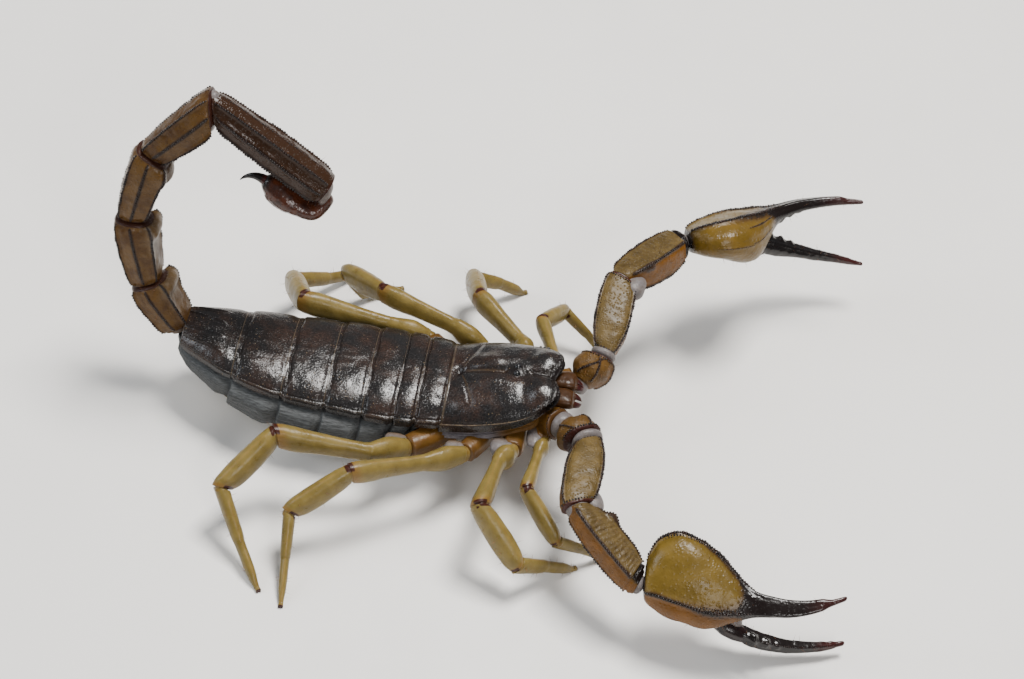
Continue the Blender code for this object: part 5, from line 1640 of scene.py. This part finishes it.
def bristle_tree():
    """Thin cones that stand on a mesh where it is marked hairy, each a small patch of the map."""
    given, add, named, close = nodes_tree("bristles", [
        ("Density", "NodeSocketFloat"), ("Length", "NodeSocketFloat"), ("Root", "NodeSocketFloat"),
        ("Seed", "NodeSocketInt"), ("Material", "NodeSocketMaterial")])
    seed = given["Seed"]
    dense = add("ShaderNodeMath", {"operation": "MULTIPLY"}, {0: named("FLOAT", "hair"), 1: given["Density"]})
    points = add("GeometryNodeDistributePointsOnFaces", {"distribute_method": "RANDOM"},
                 {"Mesh": given["Geometry"], "Density": dense.outputs[0], "Seed": seed})
    stray = add("FunctionNodeRandomValue", {"data_type": "FLOAT_VECTOR"},
                {0: (-BRISTLE_STRAY,) * 3, 1: (BRISTLE_STRAY,) * 3, "Seed": seed})
    lean = add("ShaderNodeVectorMath", {"operation": "ADD"},
               {0: points.outputs["Normal"], 1: stray.outputs[0]})
    align = add("FunctionNodeAlignRotationToVector", {"axis": "Z"}, {"Vector": lean.outputs[0]})
    cone = add("GeometryNodeMeshCone", {"fill_type": "NGON"},
               {"Vertices": 4, "Side Segments": 2, "Radius Top": 0.0, "Radius Bottom": given["Root"],
                "Depth": given["Length"]})
    patch = add("GeometryNodeStoreNamedAttribute", {"data_type": "FLOAT2", "domain": "CORNER"},
                {"Geometry": cone.outputs["Mesh"], "Name": "patch", "Value": cone.outputs["UV Map"]})
    chance = add("FunctionNodeRandomValue", {"data_type": "FLOAT"}, {2: 0.35, 3: 1.0, "Seed": seed})
    scale = add("ShaderNodeCombineXYZ", None, {0: 1.0, 1: 1.0, 2: chance.outputs[1]})
    put = add("GeometryNodeInstanceOnPoints", None,
              {"Points": points.outputs["Points"], "Instance": patch.outputs["Geometry"],
               "Rotation": align.outputs["Rotation"], "Scale": scale.outputs[0]})
    real = add("GeometryNodeRealizeInstances", None, {"Geometry": put.outputs["Instances"]})
    small = add("ShaderNodeVectorMath", {"operation": "SCALE"},
                {0: named("FLOAT_VECTOR", "patch"), "Scale": BRISTLE_PATCH})
    where = add("ShaderNodeVectorMath", {"operation": "ADD"},
                {0: named("FLOAT_VECTOR", "UVMap"), 1: small.outputs[0]})
    bake = add("GeometryNodeStoreNamedAttribute", {"data_type": "FLOAT2", "domain": "CORNER"},
               {"Geometry": real.outputs["Geometry"], "Name": "OFBake", "Value": where.outputs[0]})
    return close(bake.outputs["Geometry"])


def bristles():
    """Short stiff bristles on arms, fingers and legs."""
    material = bristle_horn()
    for seed, (name, shells) in enumerate(sorted(COATED.items())):
        base = mesh_of(name, shells)
        piece = grow(name, base, bristle_tree(),
                     {"Density": BRISTLES_PER_SQUARE_MM / MM ** 2, "Length": size("bristle") * MM,
                      "Root": size("bristle_root") * MM, "Seed": seed + 1}, material)
        mesh = piece.data
        for vertex in mesh.vertices:
            vertex.co.z = max(vertex.co.z, FLOOR_CLEARANCE)
        for extra in [a.name for a in mesh.attributes if a.name in MARKS + ("patch", "UVMap")]:
            mesh.attributes.remove(mesh.attributes[extra])
        settle(piece, "leg_shell" if name == "leg_bristles" else "olive_shell")


# ---- stage

LOOK_AT = np.array((-0.93, 2.69, 16.52))
FLOOR_HALF = 1.2             # metres
ROOM_COLOUR, ROOM_STRENGTH = (0.92, 0.95, 1.0, 1), 0.22
# Soft lights: name, place in millimetres, watts, width and height in metres, colour.
LAMPS = (("key_light", (60, 120, 460), 4.2, 0.16, 0.16, (1.0, 0.98, 0.95)),
         ("side_light", (-420, -80, 280), 1.2, 0.14, 0.30, (0.86, 0.93, 1.0)),
         ("front_light", (160, -380, 330), 1.3, 0.16, 0.16, (1.0, 0.98, 0.96)))
LIT = (0, 0, 5)              # the place that the lights face


def stand(name, data, right, up, back, place):
    """A camera or light at a place in metres, which looks away from back."""
    matrix = np.eye(4)
    matrix[:3, :3], matrix[:3, 3] = np.stack([right, up, back], -1), place
    thing = add_object(name, data)
    thing.matrix_world = Matrix(matrix.tolist())
    return thing


def lamp(name, place, power, width, height, colour):
    """A soft rectangular light that faces the animal."""
    light = bpy.data.lights.new(name, "AREA")
    light.energy, light.color = power, colour
    light.shape, light.size, light.size_y = "RECTANGLE", width, height
    place, target = (np.array(place) + SHIFT) * MM, (np.array(LIT) + SHIFT) * MM
    away = unit(place - target)
    right = unit(np.cross(UP, away))
    stand(name, light, right, np.cross(away, right), away, place)


def stage():
    """Camera, soft studio light, pale world and floor."""
    settings = bpy.context.scene.scorpion_stage
    e, roll = settings.elevation, settings.roll
    back = np.array((0, -math.cos(e), math.sin(e)))
    up = np.array((0, math.sin(e), math.cos(e)))
    camera = bpy.data.cameras.new("camera")
    camera.lens, camera.sensor_width, camera.clip_start, camera.clip_end = settings.lens, 36, 0.01, 10
    bpy.context.scene.camera = stand(
        "camera", camera, math.cos(roll) * FORWARD + math.sin(roll) * up,
        math.cos(roll) * up - math.sin(roll) * FORWARD, back,
        (LOOK_AT + SHIFT) * MM + back * settings.distance)

    world = bpy.data.worlds.new("pale_room")
    world.use_nodes = True
    background = world.node_tree.nodes["Background"].inputs
    background["Color"].default_value, background["Strength"].default_value = ROOM_COLOUR, ROOM_STRENGTH
    bpy.context.scene.world = world
    for name, place, power, *rest in LAMPS:
        lamp(name, place, power * settings.key, *rest)

    mesh = bpy.data.meshes.new("floor")
    corners = [(x * FLOOR_HALF, y * FLOOR_HALF, 0) for x, y in ((-1, -1), (1, -1), (1, 1), (-1, 1))]
    mesh.from_pydata(corners, [], [(0, 1, 2, 3)])
    mesh.materials.append(pale_floor())
    floor = add_object("floor", mesh)


# ---- add-on

class SCORPION_OT_stage(bpy.types.Operator):
    """Add the camera, lights, world and floor"""
    bl_idname = "scorpion.stage"
    bl_label = "Stage"

    def execute(self, context):
        stage()
        return {"FINISHED"}


class SCORPION_OT_head(bpy.types.Operator):
    """Build the head shield, its eyes and the jaws"""
    bl_idname = "scorpion.head"
    bl_label = "Head"

    def execute(self, context):
        head_shield()
        middle_eyes()
        jaws()
        return {"FINISHED"}


class SCORPION_OT_leg_bases(bpy.types.Operator):
    """Build the breastplate and the first joints of the limbs"""
    bl_idname = "scorpion.leg_bases"
    bl_label = "Leg Bases"

    def execute(self, context):
        leg_bases()
        return {"FINISHED"}


class SCORPION_OT_trunk(bpy.types.Operator):
    """Build the back plates, side skin, belly plates and combs"""
    bl_idname = "scorpion.trunk"
    bl_label = "Trunk"

    def execute(self, context):
        back_plates()
        trunk_skin()
        belly_plates()
        combs()
        return {"FINISHED"}


class SCORPION_OT_tail(bpy.types.Operator):
    """Build the five tail segments, the bulb and the sting"""
    bl_idname = "scorpion.tail"
    bl_label = "Tail"

    def execute(self, context):
        tail()
        sting()
        return {"FINISHED"}


class SCORPION_OT_claw_arms(bpy.types.Operator):
    """Build the segments of the claw arms"""
    bl_idname = "scorpion.claw_arms"
    bl_label = "Claw Arms"

    def execute(self, context):
        claw_arms()
        return {"FINISHED"}


class SCORPION_OT_hands(bpy.types.Operator):
    """Build the hands and their fingers"""
    bl_idname = "scorpion.hands"
    bl_label = "Hands"

    def execute(self, context):
        hands()
        return {"FINISHED"}


class SCORPION_OT_legs(bpy.types.Operator):
    """Build the eight legs"""
    bl_idname = "scorpion.legs"
    bl_label = "Legs"

    def execute(self, context):
        legs()
        return {"FINISHED"}


class SCORPION_OT_bristles(bpy.types.Operator):
    """Grow bristles on the limbs that are built"""
    bl_idname = "scorpion.bristles"
    bl_label = "Bristles"

    def execute(self, context):
        if not COATED:
            raise RuntimeError("build the arms and legs before their bristles")
        bristles()
        return {"FINISHED"}


BUILD_ORDER = (SCORPION_OT_stage, SCORPION_OT_head, SCORPION_OT_leg_bases, SCORPION_OT_trunk,
               SCORPION_OT_tail, SCORPION_OT_claw_arms, SCORPION_OT_hands, SCORPION_OT_legs,
               SCORPION_OT_bristles)


class SCORPION_PT_panel(bpy.types.Panel):
    """Lists the sizes, colours and building steps of the scorpion"""
    bl_idname = "SCORPION_PT_panel"
    bl_label = "Desert Scorpion"
    bl_space_type = "VIEW_3D"
    bl_region_type = "UI"
    bl_category = "Scorpion"

    def draw(self, context):
        scene = context.scene
        for title, settings in (("Sizes", scene.scorpion_sizes), ("Colours", scene.scorpion_colours),
                                ("Stage", scene.scorpion_stage)):
            box = self.layout.box()
            box.label(text=title)
            for key in settings.__annotations__:
                box.prop(settings, key)
        for step_of in BUILD_ORDER:
            self.layout.operator(step_of.bl_idname)


CLASSES = (SCORPION_PG_sizes, SCORPION_PG_colours, SCORPION_PG_stage, *BUILD_ORDER, SCORPION_PT_panel)


def register():
    for item in CLASSES:
        bpy.utils.register_class(item)
    bpy.types.Scene.scorpion_sizes = PointerProperty(type=SCORPION_PG_sizes)
    bpy.types.Scene.scorpion_colours = PointerProperty(type=SCORPION_PG_colours)
    bpy.types.Scene.scorpion_stage = PointerProperty(type=SCORPION_PG_stage)


def unregister():
    del bpy.types.Scene.scorpion_sizes
    del bpy.types.Scene.scorpion_colours
    del bpy.types.Scene.scorpion_stage
    for item in reversed(CLASSES):
        bpy.utils.unregister_class(item)


def main():
    """Build everything in order."""
    register()
    for item in BUILD_ORDER:
        getattr(bpy.ops.scorpion, item.bl_idname.split(".")[1])()


if __name__ == "__main__":
    main()
